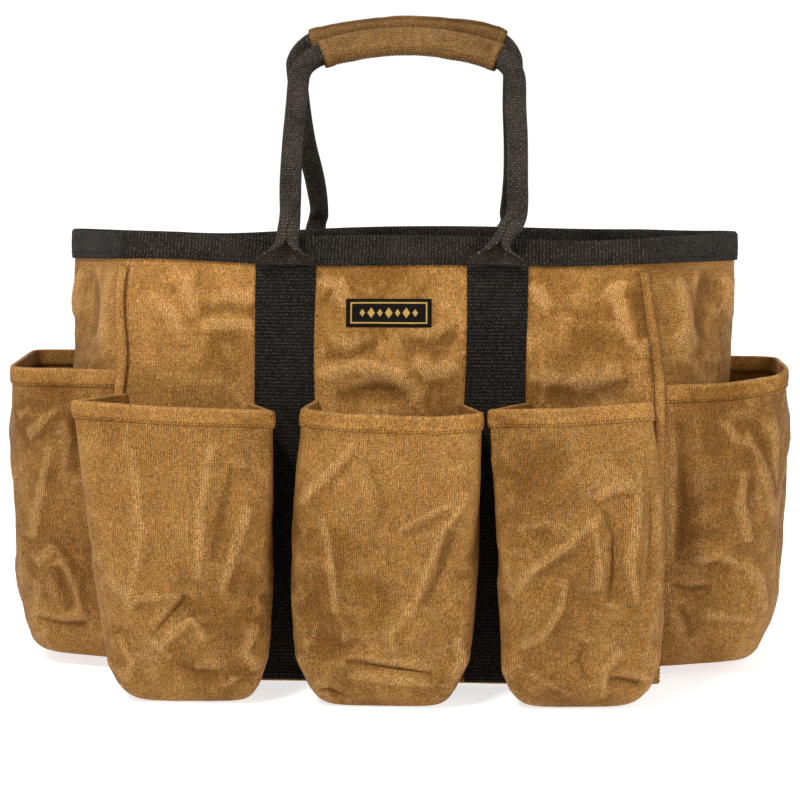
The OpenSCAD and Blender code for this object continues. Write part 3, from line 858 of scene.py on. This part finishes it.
def finish_pocket(name, P, node, seed):
    """Turns a settled grid into the pocket's cloth, its folded hem and its stitches."""
    z = P[..., 2]
    fine = wrinkle(P, seed, 0.42, ease((z - 0.004) / 0.03) * ease((z.max() - 0.02 - z) / 0.03))
    body = cloth_sheet(name, fine, CANVAS_T, POCKET_CANVAS_SHADED, lengths(P))
    hem, N = fine[-HEM_ROWS:], normals(fine)[-HEM_ROWS:]
    swell = np.sin(np.linspace(0, np.pi, HEM_ROWS))[:, None, None] * 0.7 * MM
    outer = hem + N * HEM_T + N * swell
    top = hem[-1] + UP * 1.6 * MM
    roll = [outer[-1] * 0.5 + (top + N[-1] * HEM_T) * 0.5, top,
            (top - N[-1] * HEM_T) * 0.5 + (hem[-1] - N[-1] * HEM_T) * 0.5]
    inner = hem - N * HEM_T
    H = np.concatenate([hem[:1] + N[:1] * CANVAS_T * 0.4, outer, np.array(roll), inner[::-1],
                        hem[:1] - N[:1] * CANVAS_T * 0.4])
    band = cloth_band(name + "_hem", H, HEM)
    stitch = outer[0] * 0.3 + outer[1] * 0.7
    stitches = threads(name + "_hem_thread", [(stitch, N[1]), (inner[1], -N[1])], DARK_THREAD)
    for ob in (body, band, stitches):
        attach(ob, "bag")
    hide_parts(node)


def cloth_band(name, H, material):
    """A closed solid from a grid whose first and last rows meet: a folded band."""
    rows, cols = H.shape[:2]
    faces = grid_faces(rows, cols, wrap=True)
    for c in (0, cols - 1):
        ring = [r * cols + c for r in range(rows)]
        faces.append(tuple(ring if c == 0 else ring[::-1]))
    wear_and_shade = np.zeros((rows, cols))
    # Lighter along the fold at the band's top.
    wear_and_shade[rows // 2 - 2: rows // 2 + 2] = 0.5
    return solid(name, H.reshape(-1, 3), faces, lengths(H).reshape(-1, 3), wear_and_shade.ravel(), material)


# ---------------------------------------------------------------- sweeps

def sweep(name, path, across, up, section, material, wear_and_shade, loop=False):
    """A solid drawn along a path. across and up are its frame at each point; section lists (across, up) pairs."""
    n, m = len(path), len(section)
    P = np.array([path + across * np.reshape(a, (-1, 1)) + up * np.reshape(b, (-1, 1)) for a, b in section])
    U, V = np.meshgrid(run(path), run(P[:, n // 2]))
    faces = grid_faces(m, n, loop, True)
    if not loop:
        faces.append(tuple(k * n for k in range(m)))
        faces.append(tuple(k * n + n - 1 for k in range(m))[::-1])
    weave = np.stack([V, U, np.zeros_like(U)], -1)
    return solid(name, P.reshape(-1, 3), faces, weave.reshape(-1, 3), np.repeat(wear_and_shade, n), material)


def oval(width, height, sides, power):
    """An ellipse as (across, up) pairs, squarer the lower its power."""
    out = []
    for k in range(sides):
        a = 2 * math.pi * k / sides
        c, s = math.cos(a), math.sin(a)
        out.append((width / 2 * math.copysign(abs(c) ** power, c), height / 2 * math.copysign(abs(s) ** power, s)))
    return out


def sample(P, col, row):
    """Points of a grid at fractional columns and rows."""
    rows, cols = P.shape[:2]
    c = np.clip(np.asarray(col, float), 0, cols - 1.001)
    r = np.clip(np.asarray(row, float), 0, rows - 1.001)
    c0, r0 = c.astype(int), r.astype(int)
    fc, fr = (c - c0)[..., None], (r - r0)[..., None]
    return ((P[r0, c0] * (1 - fc) + P[r0, c0 + 1] * fc) * (1 - fr)
            + (P[r0 + 1, c0] * (1 - fc) + P[r0 + 1, c0 + 1] * fc) * fr)


# ---------------------------------------------------------------- body of the bag

def settle_wall(P, seed, hold, grow=1.02):
    """Lets a wall sag. hold is how firmly each point is kept where pockets and straps press on it."""
    pin = hold.copy()
    pin[-7:] = pin[:2] = 1
    pin[:, 0] = pin[:, -1] = 1
    centre = np.array([P[..., 0].mean(), P[..., 1].mean(), 0])
    cut = P * 1.0
    cut[..., 2] = P[..., 2] * grow
    cut = centre + (cut - centre) * np.array([grow, grow, 1])
    cut = cut + normals(P) * (1.2 * MM * noise(P, 0.08, seed, 2))[..., None]
    start = P + normals(P) * (0.8 * MM * noise(P, 0.05, seed + 3, 2))[..., None] * (pin < 1)[..., None]
    return limited(P, simulate(start, pin, cut, frames=18, pressure=0.6, gravity=0.6, bending=5.0) - P, WALL_MOVE)


def open_share(P, low, blend):
    """1 where a wall's cloth is free to crease, fading out below low and at the rim binding."""
    return ease((P[..., 2] - low) / blend) * ease((RIM_LOW + 0.004 - P[..., 2]) / 0.02)


rest = panel_grid()
hold = np.zeros(rest.shape[:2])
hold[rest[..., 2] < POCKET_Z - 0.03] = 0.9
for side in STRAP:
    hold[np.abs(rest[..., 0] - STRAP[side]) < STRAP_W / 2] = 0.5
FRONT = settle_wall(rest, 11, hold)
fade = open_share(FRONT, 0.2, 0.04)
BACK = turned(wrinkle(folds(FRONT, CREASES["panel"][::2], fade), 71, 0.6, fade))
FRONT = wrinkle(folds(FRONT, CREASES["panel"], fade), 31, 0.55, fade)
rest = gusset_grid()
RIGHT = settle_wall(rest, 23, np.zeros(rest.shape[:2]))
fade = open_share(RIGHT, 0.01, 0.04) * np.sin(np.pi * np.linspace(0, 1, RIGHT.shape[1]))[None, :] ** 0.3
RIGHT = folds(RIGHT, CREASES["gusset"], fade)
LEFT, RIGHT = turned(wrinkle(RIGHT, 53, 0.8, fade)), wrinkle(RIGHT, 47, 0.8, fade)
for wall, pull in ((LEFT, 7 * MM), (RIGHT, 4 * MM)):
    out = (np.abs(wall[..., 0]) - PANEL_X + 10 * MM) / (CREASE_X - PANEL_X)
    wall[..., 0] += pull * ease(out) * ease((wall[..., 2] - 0.2) / 0.1)
for wall in (FRONT, BACK, LEFT, RIGHT):
    raise_rim(wall)
for node, P, material in (("front_panel", FRONT, PANEL_CANVAS_LIT), ("back_panel", BACK, PANEL_CANVAS_LIT),
                          ("left_gusset", LEFT, CANVAS_SIDE), ("right_gusset", RIGHT, CANVAS_SIDE)):
    wall = cloth_sheet(node + "_cloth", P, CANVAS_T, material)
    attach(wall, "bag")
    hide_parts(node)


def band_rows(P, count):
    """The top band of a wall: count rows from the binding's lower edge to the wall's top, and their normals."""
    rows, cols = P.shape[:2]
    at = np.empty((count, cols))
    for c in range(cols):
        x, y, top = P[-1, c]
        rise = 5.0 * bell(x, -0.215, 0.055) + 1.5 * bell(x, 0.215, 0.05) + 1.4 * bell(x, -0.15, 0.05)
        low = RIM_LOW + (2.0 + float(ease((0.02 - y) / 0.06)) * rise) * MM + 0.6 * MM * math.sin(x * 31)
        at[:, c] = np.interp(np.linspace(low, top, count), P[:, c, 2], np.arange(rows))
    col = np.tile(np.arange(cols, dtype=float), (count, 1))
    return sample(P, col, at), sample(normals(P), col, at)


def rim_binding():
    """Webbing folded over the top band of all four walls, joined into one ring."""
    bands = [band_rows(P, 7) for P in (FRONT, RIGHT, BACK, LEFT)]
    Q, N = (np.concatenate([band[k][:, :-1] for band in bands], 1) for k in (0, 1))
    Q = smooth(Q, 2, loop=True)
    N = unit(smooth(N, 6, loop=True, keep_edges=False))
    inside = CANVAS_T / 2 + 0.15 * MM
    reach = inside + WEB_T
    sag = (0.5 * MM * noise(Q, 0.09, 3, 2))[..., None]
    puff = np.sin(np.linspace(0.15, np.pi, len(Q)))[:, None, None] * 0.7 * MM
    out = Q + N * (reach + 0.2 * MM + sag) + N * puff
    inn = (Q - N * (reach + 0.2 * MM + sag) - N * puff * 0.6)[::-1]
    top = Q[-1] + UP * (1.4 * MM + WEB_T)
    roll = [0.55 * out[-1] + 0.45 * (top + N[-1] * reach * 0.8), top + N[-1] * 0.4 * reach, top,
            top - N[-1] * 0.4 * reach, 0.55 * inn[0] + 0.45 * (top - N[-1] * reach * 0.8)]
    H = np.concatenate([Q[:1] + N[:1] * inside, out, np.array(roll), inn, Q[:1] - N[:1] * inside])
    weave = lengths(np.concatenate([H, H[:, :1]], 1))[:, :-1][..., [1, 0, 2]]
    rows, cols = H.shape[:2]
    ob = solid("rim_binding_webbing", H.reshape(-1, 3), grid_faces(rows, cols, True, True), weave.reshape(-1, 3),
               np.zeros(rows * cols), RIM_WEBBING_LIGHTER)

    def closed(A):
        return np.concatenate([A, A[:1]])

    lines = [(closed(out[1] * 0.6 + out[2] * 0.4), closed(N[1])),
             (closed(inn[-2] * 0.6 + inn[-3] * 0.4), closed(-N[1]))]
    th = threads("rim_binding_thread", lines, BLACK_THREAD)
    for o in (ob, th):
        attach(o, "bag")
    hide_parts("rim_binding")


rim_binding()


def corner_welts():
    """The folded seams that stand out along the four corners, tucked under the rim binding."""
    # Painted shade along both sides of each welt, a little lighter along its crest.
    shade = [-0.9 * abs(math.cos(2 * math.pi * k / 16)) ** 3 + 0.3 for k in range(16)]
    for name, P, sx, sy in (("front_left", FRONT, -1, -1), ("front_right", FRONT, 1, -1),
                            ("back_left", BACK, -1, 1), ("back_right", BACK, 1, 1)):
        edge = P[:, 0] if sx * sy > 0 else P[:, -1]
        below = np.linspace(0, RIM_TOP, len(edge)) < RIM_LOW + 4 * MM
        path = smooth(edge[below][:, None], 2)[:, 0]
        n = len(path)
        lean = 0.35 * noise(path, 0.06, 5, 1)
        out = unit(np.stack([sx * (0.42 + lean), sy * np.ones(n), np.zeros(n)], -1))
        side = unit(np.cross(out, np.gradient(path, axis=0))) * sx * -sy
        tuck = (1 - ease((np.arange(n) - n + 4) / 4))[:, None]
        path = path + out * (2.2 * MM * tuck + 0.2 * MM) + np.array([sx * 1.0 * MM, 0, 0])
        thin = (0.3 + 0.7 * tuck)[:, 0]
        section = [(a * np.ones(n), b * thin) for a, b in oval(9.4 * MM, 6.2 * MM, 16, 0.95)]
        ob = sweep(name + "_welt_fold", path, side, out, section, WELT, shade)
        lines = [(path + side * k * 4.7 * MM + out * 0.6 * MM, unit(out + side * k)) for k in (-1, 1)]
        th = threads(name + "_welt_thread", lines, DARK_THREAD, pitch=3.2 * MM)
        for o in (ob, th):
            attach(o, "bag")
        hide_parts(name + "_welt")


corner_welts()


def plate(name, hx, hy, z, t, corner, material, wave, node):
    """A flat sheet with rounded corners and a slight wave, such as the base and its board."""
    u, v = np.meshgrid(np.linspace(-1, 1, 61), np.linspace(-1, 1, 37))
    x, y = u * hx, v * hy
    over_x = np.maximum(0, np.abs(x) - (hx - corner))
    over_y = np.maximum(0, np.abs(y) - (hy - corner))
    d = np.hypot(over_x, over_y)
    both = (over_x > 0) & (over_y > 0)
    pull = np.where(both & (d > 0), np.maximum(over_x, over_y) / np.maximum(d, 1e-9), 1.0)
    x = np.sign(x) * (np.minimum(np.abs(x), hx - corner) + over_x * pull)
    y = np.sign(y) * (np.minimum(np.abs(y), hy - corner) + over_y * pull)
    P = np.stack([x, y, np.full_like(x, z)], -1)
    P[..., 2] += wave * np.clip(noise(P, 0.09, 61, 2), -1, 1)
    ob = cloth_sheet(name, P, t, material)
    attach(ob, "bag")
    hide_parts(node)


def base_parts():
    """The bottom of the bag, its folded edge seam and the loose board inside."""
    hx, hy = PANEL_X - 1 * MM, BASE_Y - 1 * MM
    plate("base_canvas", hx, hy, 1.6 * MM, 2 * MM, 14 * MM, CANVAS_SIDE, 0.3 * MM, "base_panel")
    plate("base_stiffener", hx - 7 * MM, hy - 7 * MM, 5.2 * MM, 2.6 * MM, 18 * MM, BOARD, 0.25 * MM,
          "base_board")
    pts, outs = [], []
    for cx, cy, a0 in ((1, -1, -90), (1, 1, 0), (-1, 1, 90), (-1, -1, 180)):
        for a in np.radians(np.linspace(a0, a0 + 90, 9)):
            o = np.array([math.cos(a), math.sin(a), 0])
            pts.append(np.array([cx * (hx - 9 * MM), cy * (hy - 9 * MM), 3.6 * MM]) + o * 11.5 * MM)
            outs.append(o)
    ring, dirs = [], []
    for k in range(len(pts)):
        a, b = pts[k], pts[(k + 1) % len(pts)]
        steps = max(1, int(np.linalg.norm(b - a) / (8 * MM)))
        for i in range(steps):
            ring.append(a + (b - a) * i / steps)
            dirs.append(outs[k])
    ring, dirs = np.array(ring), np.array(dirs)
    ring = ring + dirs * (0.5 * MM * noise(ring, 0.03, 9, 2))[:, None]
    ring[:, 2] += 0.4 * MM * noise(ring, 0.04, 12, 2)
    section = oval(4.4 * MM, 5.6 * MM, 10, 0.8)
    up = np.tile(UP, (len(ring), 1))
    seam = sweep("base_seam_fold", ring, dirs, up, section, CANVAS_SIDE, [0.25] * 10, loop=True)
    close = np.concatenate([ring, ring[:1]])
    out = np.concatenate([dirs, dirs[:1]])
    th = threads("base_seam_thread", [(close + out * 2.1 * MM, out)], DARK_THREAD, pitch=4 * MM)
    for o in (seam, th):
        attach(o, "bag")
    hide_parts("base_seam_welt")


base_parts()


# ---------------------------------------------------------------- straps

def wall_patch(P, x, z, lift):
    """Points lying on a flat wall's outside at x and z, and their outward directions."""
    N = normals(P)
    rows, cols = P.shape[:2]
    zs = P[:, cols // 2, 2]
    row = np.interp(z, zs, np.arange(rows))
    half = np.abs(sample(P, np.zeros_like(row), row)[..., 0])
    sign = 1 if P[0, -1, 0] > 0 else -1
    col = (sign * x / half + 1) / 2 * (cols - 1)
    for _ in range(2):
        here = sample(P, col, row)
        col = col + sign * (x - here[..., 0]) / (2 * half) * (cols - 1)
        row = row + (z - here[..., 2]) / (zs[-1] - zs[0]) * (rows - 1)
    return sample(P, col, row) + unit(sample(N, col, row)) * lift, unit(sample(N, col, row))


def strap(side, P, end, node):
    """One length of webbing sewn down a panel, lying on its creases."""
    x_mid = STRAP[side] if end == "front" else -STRAP["right" if side == "left" else "left"]
    rows, cols = 90, 15
    z = np.linspace(1.2 * MM, RIM_LOW + 5 * MM, rows)
    u = np.linspace(-1, 1, cols)
    narrow = 1 - 0.035 * bell(z, 0.285, 0.045)
    lean = 1.5 * MM * np.sin(z * 17 + (0 if side == "left" else 2))
    X = x_mid + lean[:, None] + u[None, :] * (STRAP_W / 2 * narrow)[:, None]
    Z = z[:, None] * np.ones((1, cols))
    if end == "back":
        X = X[:, ::-1]
    Q, N = wall_patch(P, X, Z, 0)
    N = unit(smooth(N, 8, keep_edges=False))
    Q = smooth(Q, 4)
    lift = CANVAS_T / 2 + WEB_T / 2 + 0.35 * MM
    top = ease((Z - (RIM_LOW - 6 * MM)) / (8 * MM))[..., None]
    Q = Q + N * (lift + 0.25 * MM * noise(Q, 0.03, 8, 2)[..., None]) + N * top * 2.2 * MM
    Q = Q + N * (3.4 * MM * (1 - ease((Z - 6 * MM) / (10 * MM))))[..., None]
    ob = cloth_sheet(f"{end}_{side}_strap_webbing", Q, WEB_T, STRAP_WEBBING_SHADED)
    N1 = normals(Q)
    lines = [(Q[2:-4, k] + N1[2:-4, k] * WEB_T / 2, N1[2:-4, k]) for k in (1, cols - 2)]
    th = threads(f"{end}_{side}_strap_thread", lines, BLACK_THREAD, pitch=3.6 * MM)
    for o in (ob, th):
        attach(o, "bag")
    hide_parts(node)


for side in ("left", "right"):
    strap(side, FRONT, "front", f"front_{side}_strap")
    strap(side, BACK, "back", f"back_{side}_strap")


# ---------------------------------------------------------------- handles

LEAN = math.radians(31.5)
TUBE_R = 4.9 * MM


def fold_section(fold, turned_up):
    """Webbing curled towards a tube, seen end on: its middle line from one selvedge to the other.

    The tube is wide and shallow at the foot, and the other way round once it has turned on its side.
    """
    edge = (3.8 - 2.6 * turned_up) * MM
    wall = 8.8 * MM - 2 * edge
    quarter = math.pi / 2 * TUBE_R
    tube_half = 2 * edge + 2 * quarter + wall - 0.8 * MM
    half = STRAP_W / 2 + (tube_half - STRAP_W / 2) * fold
    s = np.linspace(0, tube_half, 21)
    first = np.clip((s - edge) / quarter, 0, 1)
    second = np.clip((s - edge - quarter - wall) / quarter, 0, 1)
    turn = fold * math.pi / 2 * (first + second)
    mid = (turn[1:] + turn[:-1]) / 2
    right = np.stack([np.append(0, np.cumsum(way(mid) * half / 20)) for way in (np.cos, np.sin)], -1)
    return np.concatenate([right[1:][::-1] * np.array([-1, 1]), right])


def curve_through(points, per):
    """A Catmull-Rom curve through points, with per steps from each to the next."""
    P = np.array(points, float)
    P = np.concatenate([2 * P[:1] - P[1:2], P, 2 * P[-1:] - P[-2:-1]])
    out = []
    for k in range(1, len(P) - 2):
        for t in np.arange(per) / per:
            a, b, c, d = P[k - 1:k + 3]
            out.append(0.5 * (2 * b + (c - a) * t + (2 * a - 5 * b + 4 * c - d) * t ** 2
                              + (3 * b - a - 3 * c + d) * t ** 3))
    out.append(P[-2])
    return np.array(out)


def handle_line(end):
    """The middle line of a handle: across x, and distance q from the hinge up the leaning plane."""
    left, right = STRAP["left"], STRAP["right"]
    if end == "front":
        top, crown_x, crown_r, a, b, r = 193, 10, 190, -82, 106, 30
        low = [(-82, 16), (-83.5, 50), (-83.5, 90), (-82.5, 125)]
        high = [(106, 125), (108, 90), (108.5, 50), (108, 20)]
    else:
        top, crown_x, crown_r, a, b, r = 206, 12, 300, -91, 103, 30
        low = [(-79, 16), (-81, 50), (-87, 90), (-90, 130)]
        high = [(103, 130), (104, 90), (103, 50), (100, 16)]
    arc = []
    for edge, way in ((a, 1), (b, -1)):
        slope = 0.4 if end == "front" else 0.3   # the angle where the crown hands over to the corner
        for _ in range(8):
            x_join = edge + way * r * (1 - math.sin(slope))
            slope = math.atan(abs(x_join - crown_x) / crown_r)
        z_join = top - (x_join - crown_x) ** 2 / (2 * crown_r)
        z_low = z_join - r * math.cos(slope)
        turns = [(edge + way * r * (1 - math.cos(t)), z_low + r * math.sin(t))
                 for t in np.linspace(0, math.pi / 2 - slope, 5)]
        arc.append((turns, x_join))
    crown = [(x, top - (x - crown_x) ** 2 / (2 * crown_r)) for x in np.linspace(arc[0][1], arc[1][1], 9)[1:-1]]
    pts = low + arc[0][0] + crown + arc[1][0][::-1] + high
    foot = 1000 * left, 1000 * right
    pts = ([(foot[0], -24), (foot[0] + 0.5, -14), (foot[0] + 2, -2)] + pts
           + [(foot[1] + 10, 4), (foot[1] + 2, -10), (foot[1], -24)])
    return curve_through([(x * MM, q * MM) for x, q in pts], 6)


def place_handle(end, x, q, off):
    """From the handle's own plane into the bag: below the hinge it lies on the rim band, above it leans in."""
    lean = LEAN * ease((q + 4 * MM) / (16 * MM))
    y0, z0 = HINGE.y, HINGE.z
    y = np.where(q < 0, y0 + 0.6 * MM, y0 + q * math.sin(LEAN) * ease((q + 6 * MM) / (26 * MM)))
    z = np.where(q < 0, z0 + q, z0 + q * math.cos(LEAN))
    P = np.stack([x, y, z], -1)
    n = np.stack([np.zeros_like(x), -np.cos(lean), np.sin(lean)], -1)
    P = P + n * off[..., None]
    return turned(P) if end == "back" else P


def handle(end, seed):
    """A handle's webbing: flat on the rim band, folded into a tube above it."""
    flat = handle_line(end)
    if end == "back":
        flat = (flat * np.array([-1, 1]))[::-1]
    x, q = flat[:, 0], flat[:, 1]
    T = unit(np.gradient(flat, axis=0))
    rows = []
    for k in range(len(flat)):
        curl = float(ease((q[k] + 27 * MM) / (25 * MM)))
        upright = float(ease((q[k] - 1 * MM) / (38 * MM)))
        sec = fold_section(max(0.03, curl), upright) * (1 + 0.02 * math.sin(k * 0.31 + seed))
        centre = TUBE_R + (0.6 + 2.6 * upright) * MM
        roll = math.copysign(1.6 * upright, x[k])
        bend = 0.35 * math.exp(-((q[k] - 6 * MM) / (10 * MM)) ** 2) * (-1.2 if x[k] > 0 else 0.3)
        c, s = math.cos(roll + bend), math.sin(roll + bend)
        across, off = sec[:, 0], sec[:, 1] - centre * curl
        across, off = across * c - off * s, across * s + off * c
        down = float(ease((10 * MM - q[k]) / (30 * MM)))
        off = off + centre * curl * down + 0.3 * MM
        side = np.array([T[k, 1], -T[k, 0]])
        tilt = 0.3 if q[k] < 6 * MM else 1.0
        rows.append(place_handle(end, x[k] + across * side[0], q[k] + across * side[1] * tilt, off))
    G = smooth(np.swapaxes(np.array(rows), 0, 1), 1)
    ob = cloth_sheet(f"{end}_handle_loop", G, WEB_T, HANDLE_WEBBING_LIT, weave=lengths(G)[..., [1, 0, 2]])
    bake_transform(ob)
    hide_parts(f"{end}_handle_webbing")
    return flat


def grip(end, flat, x0, x1, seed):
    """The canvas sleeve sewn round the top of a handle."""
    x, q = flat[flat[:, 1] > 0.12].T
    s = np.append(0, np.cumsum(np.hypot(np.diff(x), np.diff(q))))
    count, sides = 70, 28
    at = np.linspace(*np.interp([x0, x1], x, s), count)
    line = np.stack([np.interp(at, s, x), np.interp(at, s, q)], -1)
    for _ in range(12):
        line[1:-1] = (line[:-2] + 2 * line[1:-1] + line[2:]) / 4
    T = unit(np.gradient(line, axis=0))
    up = np.stack([-T[:, 1], T[:, 0]], -1)
    outer, inner = [], []
    for tall, thick in oval(25.2 * MM, 17.6 * MM, sides, 0.8):
        for cut, store in ((0, outer), (1.3 * MM, inner)):
            h, w = tall - math.copysign(cut, tall), thick - math.copysign(cut, thick)
            store.append(place_handle(end, line[:, 0] + up[:, 0] * h, line[:, 1] + up[:, 1] * h, np.full(count, w)))
    outer, inner = np.array(outer), np.array(inner)
    N = np.swapaxes(normals(np.swapaxes(outer, 0, 1), loop=True), 0, 1)
    away = outer - outer.mean(0, keepdims=True)
    N = np.where((away * N).sum(-1, keepdims=True) < 0, -N, N)
    ends = np.minimum(np.arange(count), np.arange(count)[::-1])
    hold = ease(ends / 5.0)[None, :, None]
    lump = (1.0 * MM * noise(outer, 0.035, seed) + 0.5 * MM * noise(outer, 0.012, seed + 4, 2))[..., None]
    hem = 0.5 * MM * bell(ends, 2.0, 1.5)[None, :, None]
    outer = outer + N * (lump * hold + hem)
    n = sides * count
    faces = []
    for k in range(sides):
        j = (k + 1) % sides
        for c in range(count - 1):
            faces.append((k * count + c, k * count + c + 1, j * count + c + 1, j * count + c))
            faces.append((n + k * count + c, n + j * count + c, n + j * count + c + 1, n + k * count + c + 1))
        for c in (0, count - 1):
            faces.append((k * count + c, j * count + c, n + j * count + c, n + k * count + c))
    along = np.tile(at, (sides, 1))
    around = np.tile(np.arange(sides)[:, None] * 2.7 * MM, (1, count))
    weave = np.stack([along, around, np.zeros_like(along)], -1).reshape(-1, 3)
    # The sleeve's relief: lighter rubbed ridges and painted shade in its hollows.
    wear_and_shade = np.clip(((outer - smooth(outer, 6)) * N).sum(-1) / (0.5 * MM), -1, 1).ravel()
    verts = np.concatenate([outer.reshape(-1, 3), inner.reshape(-1, 3)])
    ob = solid(f"{end}_handle_grip_sleeve", verts, faces, np.tile(weave, (2, 1)), np.tile(wear_and_shade, 2), GRIP)
    lines = [(outer[k, 3:-3] + N[k, 3:-3] * 0.1 * MM, N[k, 3:-3]) for k in (round(sides * 0.4), round(sides * 0.6))]
    ring = list(range(sides)) + [0]
    lines += [(outer[ring, c], N[ring, c]) for c in (3, count - 4)]
    th = threads(f"{end}_handle_grip_thread", lines, DARK_THREAD, pitch=3.0 * MM, length=2.1 * MM)
    for o in (ob, th):
        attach(o, f"{end}_handle")
    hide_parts(f"{end}_handle_grip")


for end, seed, low, high in (("front", 1, -63, 92), ("back", 4, -92, 74)):
    grip(end, handle(end, seed), low * MM, high * MM, 5 + seed)


# ---------------------------------------------------------------- pockets in place

for seed, (name, other) in zip((100, 110, 120), (("left", "right"), ("middle", "middle"), ("right", "left"))):
    P = in_panel_frame(settle_pocket(FRONT_POCKETS[name], seed))
    finish_pocket(f"front_{name}_pocket_cloth", P, f"front_{name}_pocket", seed)
    finish_pocket(f"back_{other}_pocket_cloth", turned(P), f"back_{other}_pocket", seed + 7)
for side, seed in (("right", 160), ("left", 181)):
    sheet = in_side_frame(settle_pocket(SIDE_POCKETS[side], seed), side == "left")
    faces_front = ease((np.abs(normals(sheet)[..., 1]) - 0.4) / 0.3) * (sheet[..., 1] < 0)
    sheet = folds(sheet, CREASES[side + "_side"], faces_front * ease((0.235 - sheet[..., 2]) / 0.02))
    finish_pocket(f"{side}_side_pocket_cloth", sheet, f"{side}_side_pocket", 161)


# ---------------------------------------------------------------- label

LABEL_SHIFT = 1.5 * MM, 2 * MM   # sewn on a little off the middle
GOLD_T = 0.35 * MM


def on_front(name, X, Z, lift, t, material):
    """A thin sheet lying on the front panel."""
    Q, _ = wall_patch(FRONT, X + LABEL_SHIFT[0], Z + LABEL_SHIFT[1], lift)
    return cloth_sheet(name, Q, t, material)


def label():
    """The woven label: its ground, a thin frame and seven diamonds."""
    low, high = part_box("woven_label")
    z0, w, h = (low.z + high.z) / 2, high.x - low.x, high.z - low.z
    ground = CANVAS_T / 2 + 0.6 * MM
    face = ground + 0.55 * MM

    def patch(name, x0, x1, za, zb, cols, rows, lift=face, t=GOLD_T, material=LABEL_GOLD):
        X, Z = np.meshgrid(np.linspace(x0, x1, cols), np.linspace(za, zb, rows))
        return on_front(name, X, Z, lift, t, material)

    base = patch("woven_label_ground", -w / 2, w / 2, z0 - h / 2, z0 + h / 2, 30, 11, ground, 0.9 * MM, LABEL_BLACK)
    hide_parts("woven_label")
    inset, line = 3.3 * MM, 1.0 * MM
    xi, zi = w / 2 - inset, h / 2 - inset * 0.8
    bars = [(-xi, xi, z0 + zi - line, z0 + zi, 30, 2), (-xi, xi, z0 - zi, z0 - zi + line, 30, 2),
            (-xi, -xi + line, z0 - zi + line, z0 + zi - line, 2, 9),
            (xi - line, xi, z0 - zi + line, z0 + zi - line, 2, 9)]
    parts = [base] + [patch(f"woven_label_frame_{k}", *bar) for k, bar in enumerate(bars)]
    for k in range(-3, 4):
        half = 3.1 * MM if k % 2 else 4.3 * MM
        t, s = np.meshgrid(np.linspace(-1, 1, 7), np.linspace(-1, 1, 7))
        X, Z = k * 7.4 * MM + (t + s) * half * 0.36, z0 + (s - t) * half * 0.5
        parts.append(on_front(f"woven_label_diamond_{k + 3}", X, Z, face, GOLD_T, LABEL_GOLD))
    for o in parts:
        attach(o, "bag")


label()


# ---------------------------------------------------------------- camera, light and floor

def look():
    """The camera, a little to the right and above, nearly level. Its focal length is in widths of the picture."""
    az, pitch, yaw = (math.radians(a) for a in (3.56, 6.93, 0.12))
    dist, height, focal = 1.879, 0.4544, 2107.25 / 800
    cam = bpy.data.cameras.new("camera")
    cam.sensor_width = 36
    cam.lens = focal * cam.sensor_width
    cam.clip_end = 100
    ob = bpy.data.objects.new("camera", cam)
    bpy.context.scene.collection.objects.link(ob)
    ob.location = (dist * math.sin(az), -dist * math.cos(az), height)
    ob.rotation_euler = (math.pi / 2 - pitch, 0, az - yaw)
    bpy.context.scene.camera = ob


def lamp(name, place, size, power):
    """A square lamp aimed at the middle of the bag."""
    light = bpy.data.lights.new(name, "AREA")
    light.shape = "RECTANGLE"
    light.size = light.size_y = size
    light.energy = power
    ob = bpy.data.objects.new(name, light)
    bpy.context.scene.collection.objects.link(ob)
    ob.location = place
    ob.rotation_euler = (Vector((0, 0, 0.2)) - Vector(place)).to_track_quat("-Z", "Y").to_euler()


def studio():
    """A pale floor, a white sky that is brightest in front, and two lamps."""
    g = Graph("pale floor")
    speck = g.noise(g.place(), 30.0, 2.0)
    g.shade(Base_Color=g.mix(speck, rgb(0.6, 0.6, 0.595), rgb(0.62, 0.62, 0.615)), Roughness=0.9,
            Emission_Color=rgb(1, 1, 1), Emission_Strength=0.7)
    half, low = 14.0, -0.5 * MM
    floor = new_mesh("floor", [(x * half, y * half, low) for x, y in ((-1, -1), (1, -1), (1, 1), (-1, 1))],
                     [(0, 1, 2, 3)])
    floor.data.materials.append(g.material)
    world = bpy.data.worlds.new("studio")
    world.use_nodes = True
    tree = world.node_tree
    ray = tree.nodes.new("ShaderNodeTexCoord")
    split = tree.nodes.new("ShaderNodeSeparateXYZ")
    tree.links.new(ray.outputs["Generated"], split.inputs[0])
    fade = tree.nodes.new("ShaderNodeMapRange")
    fade.interpolation_type = "SMOOTHSTEP"
    for socket, v in zip(fade.inputs[1:5], (-0.5, 0.45, 0.5, 1.05)):
        socket.default_value = v
    tree.links.new(split.outputs["Y"], fade.inputs[0])
    tree.nodes["Background"].inputs[0].default_value = (1, 1, 1, 1)
    tree.links.new(fade.outputs[0], tree.nodes["Background"].inputs[1])
    bpy.context.scene.world = world
    lamp("key", (-0.95, -2.1, 2.5), 0.5, 66)
    lamp("fill", (2.4, -1.8, 1.2), 1.2, 23)
    bpy.context.scene.view_settings.view_transform = "Standard"
    bpy.context.scene.view_settings.look = "None"


look()
studio()
